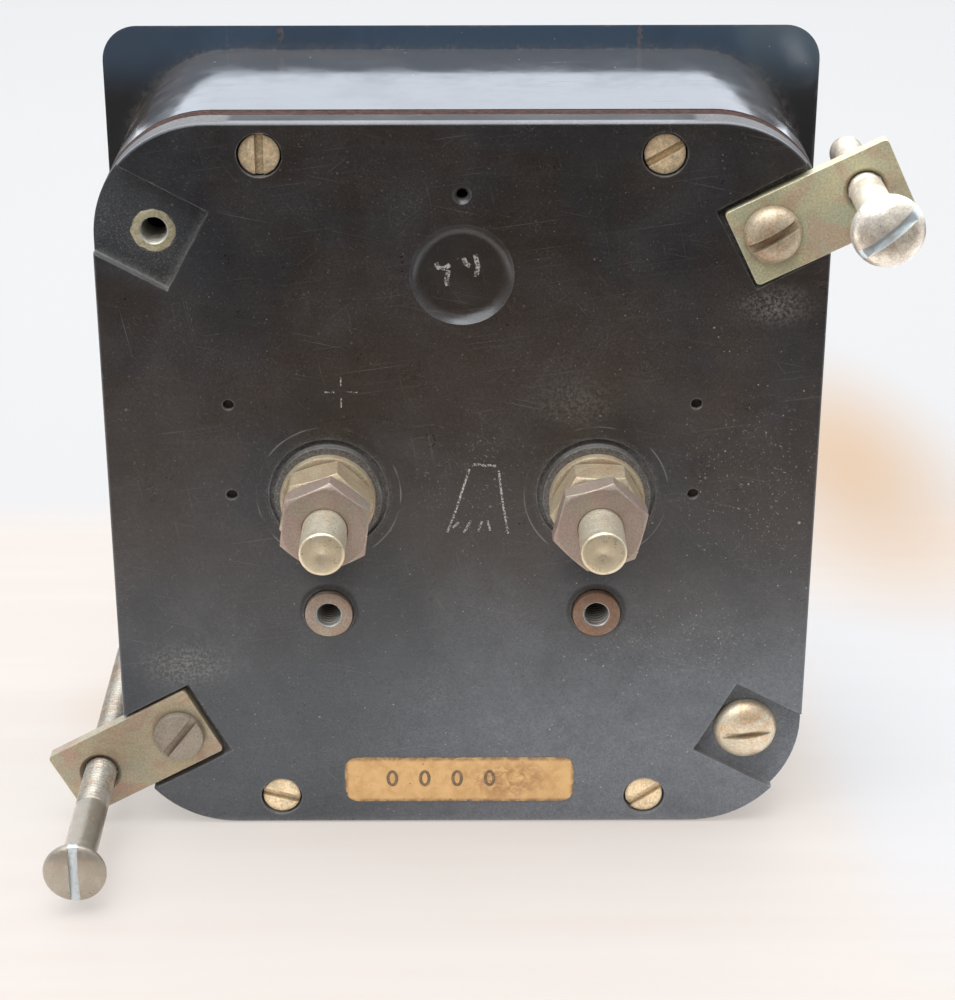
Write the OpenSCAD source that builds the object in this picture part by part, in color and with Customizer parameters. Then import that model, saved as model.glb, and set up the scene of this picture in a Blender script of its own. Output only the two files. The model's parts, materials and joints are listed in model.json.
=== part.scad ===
// Moving-coil galvanometer in a square moulded case, made to drop into a panel from the front.
// Frame: the origin is the centre of the flange's rear face, which seats on the panel.
// +Y runs out of the back, the dial faces -Y and +Z is up. Left is -X. Millimetres.

/* [Case] */
// Width of the case behind the panel
case_w = 101.6; // [98:0.1:106]
// Height of the case behind the panel
case_h = 108.6; // [106:0.1:114]
// Corner radius of the case
case_r = 16.4; // [14:0.1:18]
// Depth from the flange's rear face to the back plate's outer face
depth = 43.1; // [42:0.1:50]
// Wall thickness of the case
wall = 3.2; // [2.6:0.1:3.4]
// How far the flange stands out at each side
flange_side = 3.2; // [2:0.1:8]
// How far the flange stands out at the top and the bottom
flange_end = 3.6; // [2:0.1:8]
// Flange thickness
flange_t = 5; // [3:0.5:7]
// Corner radius of the flange
flange_r = 5.3; // [3:0.1:9]
// How far the front moulding stands in front of the panel
front_h = 14; // [14:0.5:16]

/* [Back plate] */
// Back plate thickness
plate_t = 4.6; // [4:0.1:5.4]
// Gasket thickness
gasket_t = 2.9; // [2:0.1:3]
// Case screws, distance from the centre line sideways
case_screw_x = 27.5; // [24:0.1:29]
// Case screws, distance above and below the centre
case_screw_z = 49.9; // [49.5:0.1:50.2]
// Radius of the dish
dish_r = 7.2; // [5:0.1:8]
// Depth of the dish
dish_depth = 1.3; // [0.6:0.1:2]
// Height of the dish above the centre
dish_z = 32.9; // [30:0.1:34]

/* [Terminals] */
// Distance between the two terminal studs
stud_pitch = 38.4; // [36:0.1:42]
// Terminal stud diameter, a quarter of an inch
stud_d = 6.35; // [5:0.05:6.4]
// How far the studs stand out of the back plate
stud_out = 20.9; // [18:0.1:26]
// Width across the flats of the terminal nuts
nut_flats = 12; // [11:0.1:13]
// Height of the inner terminal nut
nut_inner_h = 5.8; // [4:0.1:6]
// Height of the outer terminal nut
nut_outer_h = 3.9; // [3:0.1:5]

/* [Panel clamps] */
// Corner inserts, distance from the centre line sideways
insert_x = 42.5; // [41:0.1:42.6]
// Corner inserts, distance above and below the centre
insert_z = 38.9; // [38:0.1:39]
// Slope of the corner pockets away from the horizontal
pocket_angle = 28.5; // [26:0.5:32]
// Distance from the clamp screw to the jack screw
clamp_reach = 13.9; // [13.5:0.1:15]
// Slope of the upper clamp bar
upper_angle = 26; // [26:0.5:31]
// Slope of the lower clamp bar
lower_angle = 28.5; // [26:0.1:31]
// Jack screw diameter
jack_d = 4.83; // [4:0.01:5]
// Gap between the upper jack screw's tip and the panel seat
upper_tip_y = 23.1; // [5:0.1:26]
// Length of the upper jack screw under its head
upper_len = 38.3; // [34:0.1:40]
// Gap between the lower jack screw's tip and the panel seat
lower_tip_y = 2.2; // [2.1:0.1:8]
// Length of the lower jack screw under its head
lower_len = 69; // [60:0.1:70]

/* [Movement] */
// Height of the coil's axis, below the centre
pivot_z = -20; // [-21:0.5:-19]
// Radius of the iron core
core_r = 8.5; // [8:0.1:8.6]
// Radius of the pole faces
pole_r = 10.9; // [10.8:0.1:11.4]
// Magnet: outer radius of the bow
magnet_ro = 30.5; // [28:0.5:30.5]
// Magnet: width of a leg
magnet_leg = 13; // [10:0.5:13]
// Length of the pointer from the coil's axis
pointer_len = 46; // [40:0.5:48]
// Turns in each hairspring
spring_turns = 4; // [2:1:5]

/* [Hidden] */

$fn = 48;
eps = 0.01;             // overlap between cutting solids
fit = 0.03;             // radial gap between fixed screws and their holes
run = 0.05;             // radial gap where something turns or slides

plate_in = depth - plate_t;             // inner face of the back plate
rim_y = plate_in - gasket_t;            // rear rim of the case
// The flange's edge falls away towards the front: [inset, distance in front of the panel seat].
flange_edge = [[0, 0], [0.25, 0.8], [0.7, 1.8], [1.4, 3], [2.4, 4.1], [3.6, flange_t]];
front_wall = 3;
front_in = -front_h + front_wall;       // inner face of the front wall
cavity_w = case_w - 2 * wall;
cavity_h = case_h - 2 * wall;
boss_r = 4.2;                           // columns that take the case screws
case_screw_r = 1.75;
insert_r = 3;
insert_bore = 1.8;                      // No. 8 thread, modelled at its root
screw8_r = insert_bore - fit;
insert_boss_r = 4.6;
pocket_w = 12.8;
pocket_depth = 1.8;
pocket_end = 5.4;                       // from the insert to the pocket's inner end
pocket_y = depth - pocket_depth;
bar_w = 11.5;
bar_t = 2.1;
bar_inner = 4.7;
countersink = 0.7;                      // depth and width of the bars' countersinks
bar_outer = 19.3;
upper_shift = [-0.1, -0.34];            // how far each bar lies off its screws, along and across
lower_shift = [0.25, -0.24];
upper_head = [4.84, 3.2];               // jack screw heads, radius and height
lower_head = [4.52, 1.8];
jack_slot_w = 1.4;
stud_x = stud_pitch / 2;
stud_r = stud_d / 2;
stud_in_y = 33.8;                       // inner end of the studs
stud_chamfer = 0.3;
terminal_boss_r = 7.7;
terminal_ring_r = 8.52;
terminal_boss_h = 1.2;
washer_t = 1.7;
nut_y = depth + terminal_boss_h + washer_t;
outer_nut_y = nut_y + nut_inner_h;
bush_x = 19.6;
bush_z = -18.8;
bush_r = 3.45;
bush_out = 1;                           // how far the bushes stand out of the plate
frame_screw_x = 33.1;
frame_screw_z = [0, 13.8];
frame_screw_r = 0.76;
magnet_y = [4, 20];
base_y = [20, 23];
magnet_z = 6;                           // centre of the magnet's bow
leg_in = magnet_ro - magnet_leg;        // inner face of a magnet leg
window = [70, 42];
window_z = 18;
glass_t = 2;
glass_y = front_in;
retainer_t = 0.8;
retainer_screw = [40.5, 16];            // from the window's centre
dial_y = -2;
dial_t = 0.8;
dial_post = [24, -8];
pointer_y = -5;
stop_angle = 48.5;
stop_radius = 20;
former_in = 9;                          // half width inside the coil former
former_t = 0.6;
former_w = 6;
former_y = [3.4, 20.6];                 // inside the former
staff_r = 0.6;
bridge_y = [-9.5, -7.5];
rear_bridge_y = [27, 29];
bridge_half = 3.5;
front_post_x = 14;
rear_post_x = 15;
jewel_r = 1.5;
screw2_r = 1;                           // small fixing screws
zero_drop = 11;                         // zero screw below the coil's axis
zero_z = pivot_z - zero_drop;
zero_throw = 1.4;                       // eccentricity of the zero screw's pin
zero_shaft_r = 2;
zero_pin_r = 0.5;
arm_y = [-10.4, -9.8];
arm_hub_r = 3;
spring_r = [1.2, 5.4];
magnet_screw = [17, 23];
pole_screw = [14.2, 9.2];               // beside the coil's axis
resistor_z = 12;

// ---- placing helpers ----

// Extrudes a profile drawn in (X, Z) from y0 to y1.
module slab(y0, y1) {
    translate([0, y1, 0]) rotate([90, 0, 0]) linear_extrude(y1 - y0) children();
}

// Stands a part on the plane at y, its own +Z pointing out of the back, turned by turn as seen from behind.
module outward(x, z, y, turn = 0) {
    translate([x, y, z]) rotate([-90, 0, 0]) rotate([0, 0, turn]) children();
}

module rod(x, z, y0, y1, r) {
    slab(y0, y1) translate([x, z]) circle(r);
}

module tube(x, z, y0, y1, ro, ri) {
    slab(y0, y1) translate([x, z]) difference() {
        circle(ro);
        circle(ri);
    }
}

module rounded(w, h, r) {
    square([w - 2 * r, h], center = true);
    square([w, h - 2 * r], center = true);
    for (sx = [-1, 1], sz = [-1, 1])
        translate([sx * (w / 2 - r), sz * (h / 2 - r)]) circle(r);
}

// Repeats a part at the four corners (x, z) of a rectangle about the centre.
module at_corners(x, z) {
    for (sx = [-1, 1], sz = [-1, 1]) translate([sx * x, 0, sz * z]) children();
}

module at_sides(x) {
    for (sx = [-1, 1]) translate([sx * x, 0, 0]) children();
}

// ---- fasteners ----

// Head profiles: a cheese head with a chamfer, a flat head with a sharp edge, a round head.
function cheese_head(r, h) = [[0, 0], [r, 0], [r, h - 0.25 * r], [r - 0.18 * r, h], [0, h]];
function flat_head(r, h) = [[0, 0], [r, 0], [r, h - 0.15], [r - 0.2, h], [0, h]];
function round_head(r, h) = concat(
    [[0, 0], [r, 0], [r, 0.3 * h]],
    [for (a = [15:15:90]) [r * cos(a), 0.3 * h + 0.7 * h * sin(a)]]
);

// A slotted screw: the head's seat is at z = 0 and the shank runs down from it.
module slotted_screw(head, head_r, head_h, shank_r, shank_len, slot_w = 0) {
    width = slot_w > 0 ? slot_w : 0.26 * head_r;
    difference() {
        union() {
            rotate_extrude() polygon(head);
            translate([0, 0, -shank_len]) cylinder(h = shank_len + eps, r = shank_r);
        }
        translate([-head_r - 1, -width / 2, 0.5 * head_h]) cube([2 * head_r + 2, width, head_h]);
    }
}

// A hexagon nut with both faces chamfered. One corner points along X.
module hex_nut(flats, h, bore_r) {
    corner_r = flats / 2 / cos(30);
    cut = corner_r - flats / 2 + 0.25;
    difference() {
        intersection() {
            cylinder(h = h, r = corner_r, $fn = 6);
            rotate_extrude() polygon([
                [0, 0], [corner_r - cut, 0], [corner_r, 0.6 * cut],
                [corner_r, h - 0.6 * cut], [corner_r - cut, h], [0, h]
            ]);
        }
        translate([0, 0, -1]) cylinder(h = h + 2, r = bore_r);
    }
}

// ---- case, gasket and back plate ----

// Half the section of a straight side of the flange, across from the line its corners turn about.
module flange_section() {
    polygon(concat([[0, 0]], [for (p = flange_edge) [flange_r - p[0], p[1]]], [[0, flange_t]]));
}

module flange() {
    half_w = case_w / 2 + flange_side - flange_r;   // to the corners' centres
    half_h = case_h / 2 + flange_end - flange_r;
    slab(-flange_t, 0) square([2 * half_w, 2 * half_h], center = true);
    for (side = [0, 180]) {
        rotate([0, side, 0]) translate([half_w, 0, -half_h]) linear_extrude(2 * half_h)
            mirror([0, 1]) flange_section();
        rotate([0, side + 90, 0]) translate([half_h, 0, -half_w]) linear_extrude(2 * half_w)
            mirror([0, 1]) flange_section();
    }
    for (sx = [-1, 1], sz = [-1, 1]) translate([sx * half_w, 0, sz * half_h])
        mirror([sx < 0 ? 1 : 0, 0, 0]) mirror([0, 0, sz < 0 ? 1 : 0])
            rotate([90, 0, 0]) rotate_extrude(angle = 90) flange_section();
}

module case_solid() {
    flange();
    slab(-flange_t, rim_y) rounded(case_w, case_h, case_r);
    slab(-front_h + 4, 0) rounded(98, 106, 9);
    slab(-front_h, 0) rounded(92, 100, 7);
}

module case_shell() {
    color("#1c1817") difference() {
        union() {
            difference() {
                case_solid();
                slab(0, rim_y + 1) rounded(cavity_w, cavity_h, case_r - wall);
                slab(front_in, eps) rounded(86, 94, 5);
            }
            at_corners(case_screw_x, case_screw_z) rod(0, 0, -flange_t, rim_y, boss_r);
            translate([0, 0, window_z]) at_corners(retainer_screw[0], retainer_screw[1])
                rod(0, 0, front_in - eps, glass_y + glass_t, 1.9);
        }
        slab(-front_h - 1, front_in + 1) translate([0, window_z]) rounded(window[0], window[1], 3);
        slab(-front_h - 1, -front_h + 1.2) translate([0, window_z]) rounded(window[0] + 5, window[1] + 5, 5);
        at_corners(case_screw_x, case_screw_z) rod(0, 0, rim_y - 13, rim_y + 1, case_screw_r + fit);
        translate([0, 0, window_z]) at_corners(retainer_screw[0], retainer_screw[1])
            rod(0, 0, front_in - 1, 0, 0.8 + fit);
        rod(0, zero_z, -front_h - 1, front_in + 1, zero_shaft_r + run);
        rod(0, zero_z, -front_h - 1, -front_h + 1, 5.2);
    }
}

module gasket() {
    color("#4a2620") slab(rim_y, plate_in) difference() {
        union() {
            difference() {
                rounded(case_w - 0.1, case_h - 0.1, case_r - 0.05);
                rounded(cavity_w - 0.2, cavity_h - 0.2, case_r - wall - 0.1);
            }
            for (sx = [-1, 1], sz = [-1, 1])
                translate([sx * case_screw_x, sz * case_screw_z]) circle(boss_r - 0.3);
        }
        for (sx = [-1, 1], sz = [-1, 1])
            translate([sx * case_screw_x, sz * case_screw_z]) circle(case_screw_r + 0.15);
    }
}

// The pocket or the bar in one corner, drawn along its own slope. sx and sz pick the corner.
module corner_profile(sx, sz, angle) {
    translate([sx * insert_x, sz * insert_z]) mirror([sx < 0 ? 1 : 0, 0]) mirror([0, sz < 0 ? 1 : 0])
        rotate(angle) children();
}

module back_plate() {
    color("#171415") difference() {
        union() {
            slab(plate_in, depth) rounded(case_w, case_h, case_r);
            at_corners(insert_x, insert_z) rod(0, 0, 33.5, plate_in + eps, insert_boss_r);
            at_sides(stud_x) rod(0, 0, plate_in, depth + terminal_boss_h, terminal_boss_r);
            at_sides(bush_x) rod(0, bush_z, 35.5, plate_in + eps, 5);
        }
        at_sides(stud_x) tube(0, 0, depth - 0.8, depth + 1, terminal_ring_r, terminal_boss_r);
        at_sides(stud_x) rod(0, 0, plate_in - 1, depth + 3, stud_r + run);
        at_sides(bush_x) rod(0, bush_z, 35, depth + 1, bush_r + fit);
        at_sides(bush_x) rod(0, bush_z, depth - 0.5, depth + 1, bush_r + 0.3);
        at_corners(case_screw_x, case_screw_z) rod(0, 0, plate_in - 1, depth + 1, case_screw_r + 0.15);
        at_corners(case_screw_x, case_screw_z) rod(0, 0, depth - 2.3, depth + 1, 3.1);
        at_corners(insert_x, insert_z) rod(0, 0, 33, depth + 1, insert_r + fit);
        slab(pocket_y, depth + 1) for (sx = [-1, 1], sz = [-1, 1])
            corner_profile(sx, sz, pocket_angle)
                translate([-pocket_end, -pocket_w / 2]) square([pocket_end + 30, pocket_w]);
        for (z = frame_screw_z) at_sides(frame_screw_x)
            rod(0, z, plate_in - 1, depth + 1, frame_screw_r + 0.04);
        rod(0, 44.3, plate_in - 1, depth + 1, 0.8);
        outward(0, 44.3, depth - 0.5) rotate_extrude() polygon([[0, 0], [0.8, 0], [1.8, 1], [0, 1]]);
        outward(0, dish_z, depth - dish_depth)
            rotate_extrude() polygon([
                [0, 0], [dish_r - 1.9, 0], [dish_r - 1, 0.25 * dish_depth],
                [dish_r - 0.35, 0.65 * dish_depth], [dish_r, dish_depth],
                [dish_r, dish_depth + 1], [0, dish_depth + 1]
            ]);
    }
}

case_screw_turns = [[27.5, 49.9, 90], [-27.5, 49.9, 30], [27.5, -49.9, -15], [-27.5, -49.9, 35]];

module case_screws() {
    color("#b08a3e") for (t = case_screw_turns)
        outward(sign(t[0]) * case_screw_x, sign(t[1]) * case_screw_z, depth - 2.3, t[2])
            slotted_screw(flat_head(2.85, 1.9), 2.85, 1.9, case_screw_r, 14, 1.2);
}

module rear_bushes() {
    color("#b98a62") at_sides(bush_x)
        tube(0, bush_z, 35.5, depth + bush_out, bush_r, insert_bore);
}

module corner_inserts() {
    color("#a3905c") at_corners(insert_x, insert_z)
        tube(0, 0, 33.7, pocket_y, insert_r, insert_bore);
}

module label() {
    color("#c4803a") slab(depth, depth + 0.25)
        translate([0.5, -46.9]) rounded(34.7, 7.5, 2.2);
}

// ---- terminals ----

module terminal_stud(x) {
    groove = 0.2;
    groove_y = outer_nut_y + nut_outer_h - stud_in_y;
    end = depth + stud_out - stud_in_y;
    outward(x, 0, stud_in_y) rotate_extrude() polygon([
        [0, 0], [stud_r - 0.5, 0], [stud_r, 0.5],
        [stud_r, groove_y + 0.2], [stud_r - groove, groove_y + 0.4],
        [stud_r - groove, groove_y + 0.6], [stud_r, groove_y + 0.8],
        [stud_r, end - stud_chamfer], [stud_r - stud_chamfer, end], [0, end]
    ]);
}

module terminal_studs() {
    color("#c9c1ad") for (sx = [-1, 1]) terminal_stud(sx * stud_x);
}

module terminal_washers() {
    color("#a49a78") at_sides(stud_x)
        tube(0, 0, depth + terminal_boss_h, nut_y, 7.15, stud_r + 0.15);
}

module terminal_nuts() {
    color("#a08f62") {
        outward(-stud_x, 0, nut_y, 59) hex_nut(nut_flats, nut_inner_h, stud_r + fit);
        outward(stud_x, 0, nut_y, 16) hex_nut(nut_flats, nut_inner_h, stud_r + fit);
    }
}

module outer_nut_left() {
    color("#c09a78") outward(-stud_x, 0, outer_nut_y, 16) hex_nut(nut_flats, nut_outer_h, stud_r + run);
}

module outer_nut_right() {
    color("#c09a78") outward(stud_x, 0, outer_nut_y, 23) hex_nut(nut_flats, nut_outer_h, stud_r + run);
}

module inner_nuts() {
    color("#a08f62") for (sx = [-1, 1])
        outward(sx * stud_x, 0, plate_in - 4.1) hex_nut(11, 3.3, stud_r + fit);
}

module terminal_lugs() {
    color("#b5723f") slab(plate_in - 0.8, plate_in) for (sx = [-1, 1]) translate([sx * stud_x, 0])
        difference() {
            union() {
                circle(6);
                translate([-1.6, -11]) square([3.2, 8]);
            }
            circle(stud_r + 0.1);
        }
}

// ---- panel clamps ----

module clamp_bar(sx, sz, angle, shift) {
    hole_r = jack_d / 2 + run;
    difference() {
        slab(pocket_y, pocket_y + bar_t) corner_profile(sx, sz, angle) difference() {
            translate([(bar_outer - bar_inner) / 2 + shift[0], shift[1]])
                rounded(bar_outer + bar_inner, bar_w, 0.7);
            translate(0.5 * shift) circle(2.3);
            translate([clamp_reach, 0]) circle(hole_r);
        }
        outward(jack_x(sx, angle), jack_z(sz, angle), pocket_y + bar_t - countersink - 0.5)
            cylinder(h = countersink + 1, r1 = hole_r - 0.5, r2 = hole_r + countersink + 0.5);
    }
}

function jack_x(sx, angle) = sx * (insert_x + clamp_reach * cos(angle));
function jack_z(sz, angle) = sz * (insert_z + clamp_reach * sin(angle));

module clamp_bars() {
    color("#9c9170") {
        clamp_bar(-1, 1, upper_angle, upper_shift);
        clamp_bar(1, -1, lower_angle, lower_shift);
    }
}

module clamp_screws() {
    color("#a79a72") {
        outward(-insert_x, insert_z, pocket_y + bar_t, 30)
            slotted_screw(round_head(4, 2.8), 4, 2.8, screw8_r, 8, 1.35);
        outward(insert_x, -insert_z, pocket_y + bar_t, 52)
            slotted_screw(round_head(3.75, 1.6), 3.75, 1.6, screw8_r, 8, 1.2);
    }
}

module spare_screw() {
    color("#a3946c") outward(-insert_x, -insert_z, pocket_y, 7)
        slotted_screw(round_head(4.7, 3.1), 4.7, 3.1, screw8_r, 6, 1.1);
}

// A jack screw with a rounded tip at tip_y and its head seat len further out.
module jack_screw(sx, sz, angle, tip_y, len, head, turn) {
    r = jack_d / 2;
    outward(jack_x(sx, angle), jack_z(sz, angle), tip_y + len, turn) {
        slotted_screw(round_head(head[0], head[1]), head[0], head[1], r, len - 0.5 * r, jack_slot_w);
        translate([0, 0, -len]) rotate_extrude()
            polygon([[0, 0], [0.55 * r, 0], [0.85 * r, 0.18 * r], [r, 0.5 * r], [r, 0.5 * r + eps],
                [0, 0.5 * r + eps]]);
    }
}

module upper_jack_screw() {
    color("#9d9884") jack_screw(-1, 1, upper_angle, upper_tip_y, upper_len, upper_head, 40);
}

module lower_jack_screw() {
    color("#9d9884") jack_screw(1, -1, lower_angle, lower_tip_y, lower_len, lower_head, 90);
}

// ---- window, scale and zero adjuster ----

module window_glass() {
    color("#cfe0e0", 0.35) slab(glass_y, glass_y + glass_t)
        translate([0, window_z]) rounded(window[0] + 6, window[1] + 6, 4);
}

module window_retainer() {
    color("#3c3a38") slab(glass_y + glass_t, glass_y + glass_t + retainer_t) translate([0, window_z])
        difference() {
            rounded(window[0] + 14.5, window[1] + 8, 2);
            rounded(window[0] - 1, window[1] - 1, 2.5);
            for (sx = [-1, 1], sz = [-1, 1])
                translate([sx * retainer_screw[0], sz * retainer_screw[1]]) circle(0.95);
        }
}

module window_screws() {
    color("#9a8550") for (sx = [-1, 1], sz = [-1, 1])
        outward(sx * retainer_screw[0], window_z + sz * retainer_screw[1], glass_y + glass_t + retainer_t)
            slotted_screw(cheese_head(1.5, 0.9), 1.5, 0.9, 0.8, 3.4);
}

module scale_plate() {
    color("#ece6d2") slab(dial_y, dial_y + dial_t) difference() {
        translate([0, 16]) rounded(78, 56, 3);
        for (sx = [-1, 1]) translate([sx * dial_post[0], dial_post[1]]) circle(screw2_r + 0.1);
    }
}

module scale_posts() {
    color("#b39a5a") for (sx = [-1, 1])
        tube(sx * dial_post[0], dial_post[1], dial_y + dial_t, magnet_y[0], 2.5, screw2_r + fit);
}

// Turned over so that a screw's head faces the front.
module forward(x, z, y, turn = 0) {
    translate([x, y, z]) rotate([90, 0, 0]) rotate([0, 0, turn]) children();
}

module scale_screws() {
    color("#b39a5a") for (sx = [-1, 1]) forward(sx * dial_post[0], dial_post[1], dial_y, 30 * sx)
        slotted_screw(cheese_head(1.8, 1.1), 1.8, 1.1, screw2_r, 4.5);
}

module pointer_stops() {
    color("#b39a5a") for (sx = [-1, 1])
        rod(sx * stop_radius * sin(stop_angle), pivot_z + stop_radius * cos(stop_angle), -6.2, dial_y, 0.5);
}

module zero_adjuster() {
    color("#b9a878") {
        slab(arm_y[0], arm_y[1]) translate([0, pivot_z]) difference() {
            union() {
                circle(arm_hub_r + 1.8);
                translate([-2.2, -zero_drop - 0.8]) square([4.4, zero_drop - 3]);
                translate([-0.9, 4]) square([1.8, 2.4]);
            }
            circle(arm_hub_r + run);
            translate([-zero_pin_r - 0.15, -zero_drop - 2]) square([2 * zero_pin_r + 0.3, 4.4]);
        }
        slab(arm_y[0], -6.9) translate([-0.9, pivot_z + 5.6]) square([1.8, 0.8]);
    }
}

module zero_adjust_screw() {
    color("#1c1817") {
        forward(0, zero_z, -front_h + 1 - run) slotted_screw(cheese_head(4.5, 1.6), 4.5, 1.6, zero_shaft_r,
            front_wall - 1 + 0.5 - run);
        rod(0, zero_z + zero_throw, -front_h + 3.3, -9.3, zero_pin_r);
    }
}

module zero_screw_clip() {
    color("#8d8d8d") difference() {
        rod(0, zero_z, front_in + 0.05, front_in + 0.35, 3.2);
        rod(0, zero_z, front_in - 1, front_in + 1, zero_shaft_r + fit);
    }
}

// ---- magnet system ----

module magnet() {
    color("#5b5f63") difference() {
        slab(magnet_y[0], magnet_y[1]) difference() {
            union() {
                translate([0, magnet_z]) circle(magnet_ro);
                translate([-magnet_ro, -33]) square([2 * magnet_ro, 33 + magnet_z]);
            }
            translate([0, magnet_z]) circle(leg_in);
            translate([-leg_in, -34]) square([2 * leg_in, 34 + magnet_z]);
        }
        at_sides(magnet_screw[0]) rod(0, magnet_screw[1], 10, magnet_y[1] + 1, 1.6 + fit);
        at_sides(dial_post[0]) rod(0, dial_post[1], 3, 8, screw2_r + fit);
    }
}

module pole_pieces() {
    color("#777b7e") for (sx = [-1, 1]) difference() {
        slab(magnet_y[0], magnet_y[1]) difference() {
            translate([sx > 0 ? 3.6 : -leg_in + 0.05, pivot_z - 12]) square([leg_in - 3.65, 24]);
            translate([0, pivot_z]) circle(pole_r);
        }
        for (sz = [-1, 1])
            rod(sx * pole_screw[0], pivot_z + sz * pole_screw[1], 10, magnet_y[1] + 1, 1.6 + fit);
        rod(sx * front_post_x, pivot_z, 3, 9, 1.2 + fit);
    }
}

module core() {
    color("#8a8d90") difference() {
        rod(0, pivot_z, 5, 19, core_r);
        for (sz = [-1, 1]) translate([0, 12, pivot_z + sz * 4.8]) rotate([sz < 0 ? 180 : 0, 0, 0])
            cylinder(h = 6, r = screw2_r + fit);
    }
}

module core_holders() {
    color("#b39a5a") for (sz = [-1, 1]) difference() {
        slab(6, 18) translate([0, pivot_z]) mirror([0, sz < 0 ? 1 : 0]) difference() {
            union() {
                translate([-2.5, 7.5]) square([5, 5]);
                translate([-9, 12.05]) square([18, 1.6]);
            }
            circle(core_r + 0.04);
        }
        translate([0, 12, pivot_z + sz * 5]) rotate([sz < 0 ? 180 : 0, 0, 0])
            cylinder(h = 10, r = screw2_r + fit);
    }
}

module core_screws() {
    color("#b39a5a") for (sz = [-1, 1])
        translate([0, 12, pivot_z + sz * 13.65]) rotate([sz < 0 ? 180 : 0, 0, 0])
            slotted_screw(cheese_head(1.9, 1.2), 1.9, 1.2, screw2_r, 8);
}

module movement_base() {
    color("#9a9c9e") difference() {
        slab(base_y[0], base_y[1]) difference() {
            translate([0, 1]) rounded(76, 74, 5);
            translate([0, pivot_z]) circle(12.5);
        }
        for (z = frame_screw_z) at_sides(frame_screw_x)
            rod(0, z, base_y[0] - 1, base_y[1] + 1, frame_screw_r + 0.04);
        at_sides(magnet_screw[0]) rod(0, magnet_screw[1], base_y[0] - 1, base_y[1] + 1, 1.7);
        for (sz = [-1, 1]) at_sides(pole_screw[0])
            rod(0, pivot_z + sz * pole_screw[1], base_y[0] - 1, base_y[1] + 1, 1.7);
        at_sides(rear_post_x) rod(0, pivot_z, base_y[0] + 1, base_y[1] + 1, 1.2 + fit);
        rod(0, resistor_z, base_y[0] - 1, base_y[1] + 1, 1.8);
    }
}

module frame_pillars() {
    color("#b39a5a") for (z = frame_screw_z) at_sides(frame_screw_x)
        tube(0, z, base_y[1], plate_in, 3.2, frame_screw_r + 0.04);
}

module frame_screws() {
    color("#8f8153") for (z = frame_screw_z, sx = [-1, 1])
        forward(sx * frame_screw_x, z, base_y[0], 25 + 10 * sx)
            slotted_screw(cheese_head(1.4, 1.1), 1.4, 1.1, frame_screw_r, depth - 0.8 - base_y[0]);
}

module magnet_screws() {
    color("#9a8550") {
        for (sx = [-1, 1]) outward(sx * magnet_screw[0], magnet_screw[1], base_y[1], 15)
            slotted_screw(cheese_head(3, 1.8), 3, 1.8, 1.6, 11);
        for (sx = [-1, 1], sz = [-1, 1])
            outward(sx * pole_screw[0], pivot_z + sz * pole_screw[1], base_y[1], 40)
                slotted_screw(cheese_head(3, 1.8), 3, 1.8, 1.6, 11);
    }
}

// ---- bridges and bearings ----

// A post with a thin spigot at its foot, which sits in the part below it.
module bridge_post(x, foot_y, top_y, spigot) {
    dir = sign(foot_y - top_y);
    difference() {
        union() {
            rod(x, pivot_z, min(foot_y, top_y), max(foot_y, top_y), 2);
            rod(x, pivot_z, min(foot_y - dir * eps, foot_y + dir * spigot),
                max(foot_y - dir * eps, foot_y + dir * spigot), 1.2);
        }
        rod(x, pivot_z, min(top_y - dir, top_y + 3.6 * dir), max(top_y - dir, top_y + 3.6 * dir),
            screw2_r + fit);
    }
}

module bridge_posts() {
    color("#b39a5a") for (sx = [-1, 1]) {
        bridge_post(sx * front_post_x, magnet_y[0], bridge_y[1], 4);
        bridge_post(sx * rear_post_x, base_y[1], rear_bridge_y[0], -1.8 + 3.6);
    }
}

module bridge_profile(post_x) {
    difference() {
        union() {
            rounded(2 * post_x + 5, 2 * bridge_half, 2);
            circle(4.6);
        }
        for (sx = [-1, 1]) translate([sx * post_x, 0]) circle(screw2_r + 0.08);
        circle(jewel_r + fit);
    }
}

module front_bridge() {
    color("#b39a5a") {
        slab(bridge_y[0], bridge_y[1]) translate([0, pivot_z]) bridge_profile(front_post_x);
        tube(0, pivot_z, bridge_y[0] - 1, bridge_y[0] + eps, arm_hub_r, jewel_r + fit);
    }
}

module rear_bridge() {
    color("#b39a5a") {
        slab(rear_bridge_y[0], rear_bridge_y[1]) translate([0, pivot_z]) difference() {
            union() {
                bridge_profile(rear_post_x);
                translate([-1.2, 3]) square([2.4, 3.8]);
            }
            circle(jewel_r + fit);
        }
        rod(0, pivot_z + 5.9, 24.2, rear_bridge_y[0] + eps, 0.45);
    }
}

module bridge_screws() {
    color("#9a8550") for (sx = [-1, 1]) {
        forward(sx * front_post_x, pivot_z, bridge_y[0], 60)
            slotted_screw(cheese_head(1.9, 1.1), 1.9, 1.1, screw2_r, 5.2);
        outward(sx * rear_post_x, pivot_z, rear_bridge_y[1], 60)
            slotted_screw(cheese_head(1.9, 1.1), 1.9, 1.1, screw2_r, 5.2);
    }
}

// A jewel screw with its cupped end at z = 0 and its slot at z = len.
module jewel_screw(len) {
    difference() {
        cylinder(h = len, r = jewel_r);
        translate([0, 0, -eps]) cylinder(h = 1, r1 = 1, r2 = 0.25);
        translate([-2, -0.2, len - 0.6]) cube([4, 0.4, 1]);
    }
}

module jewel_screws() {
    color("#d2b45e") {
        forward(0, pivot_z, -7.7) jewel_screw(3);
        outward(0, pivot_z, 26.1) jewel_screw(4.5);
    }
}

// ---- moving coil ----

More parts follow.
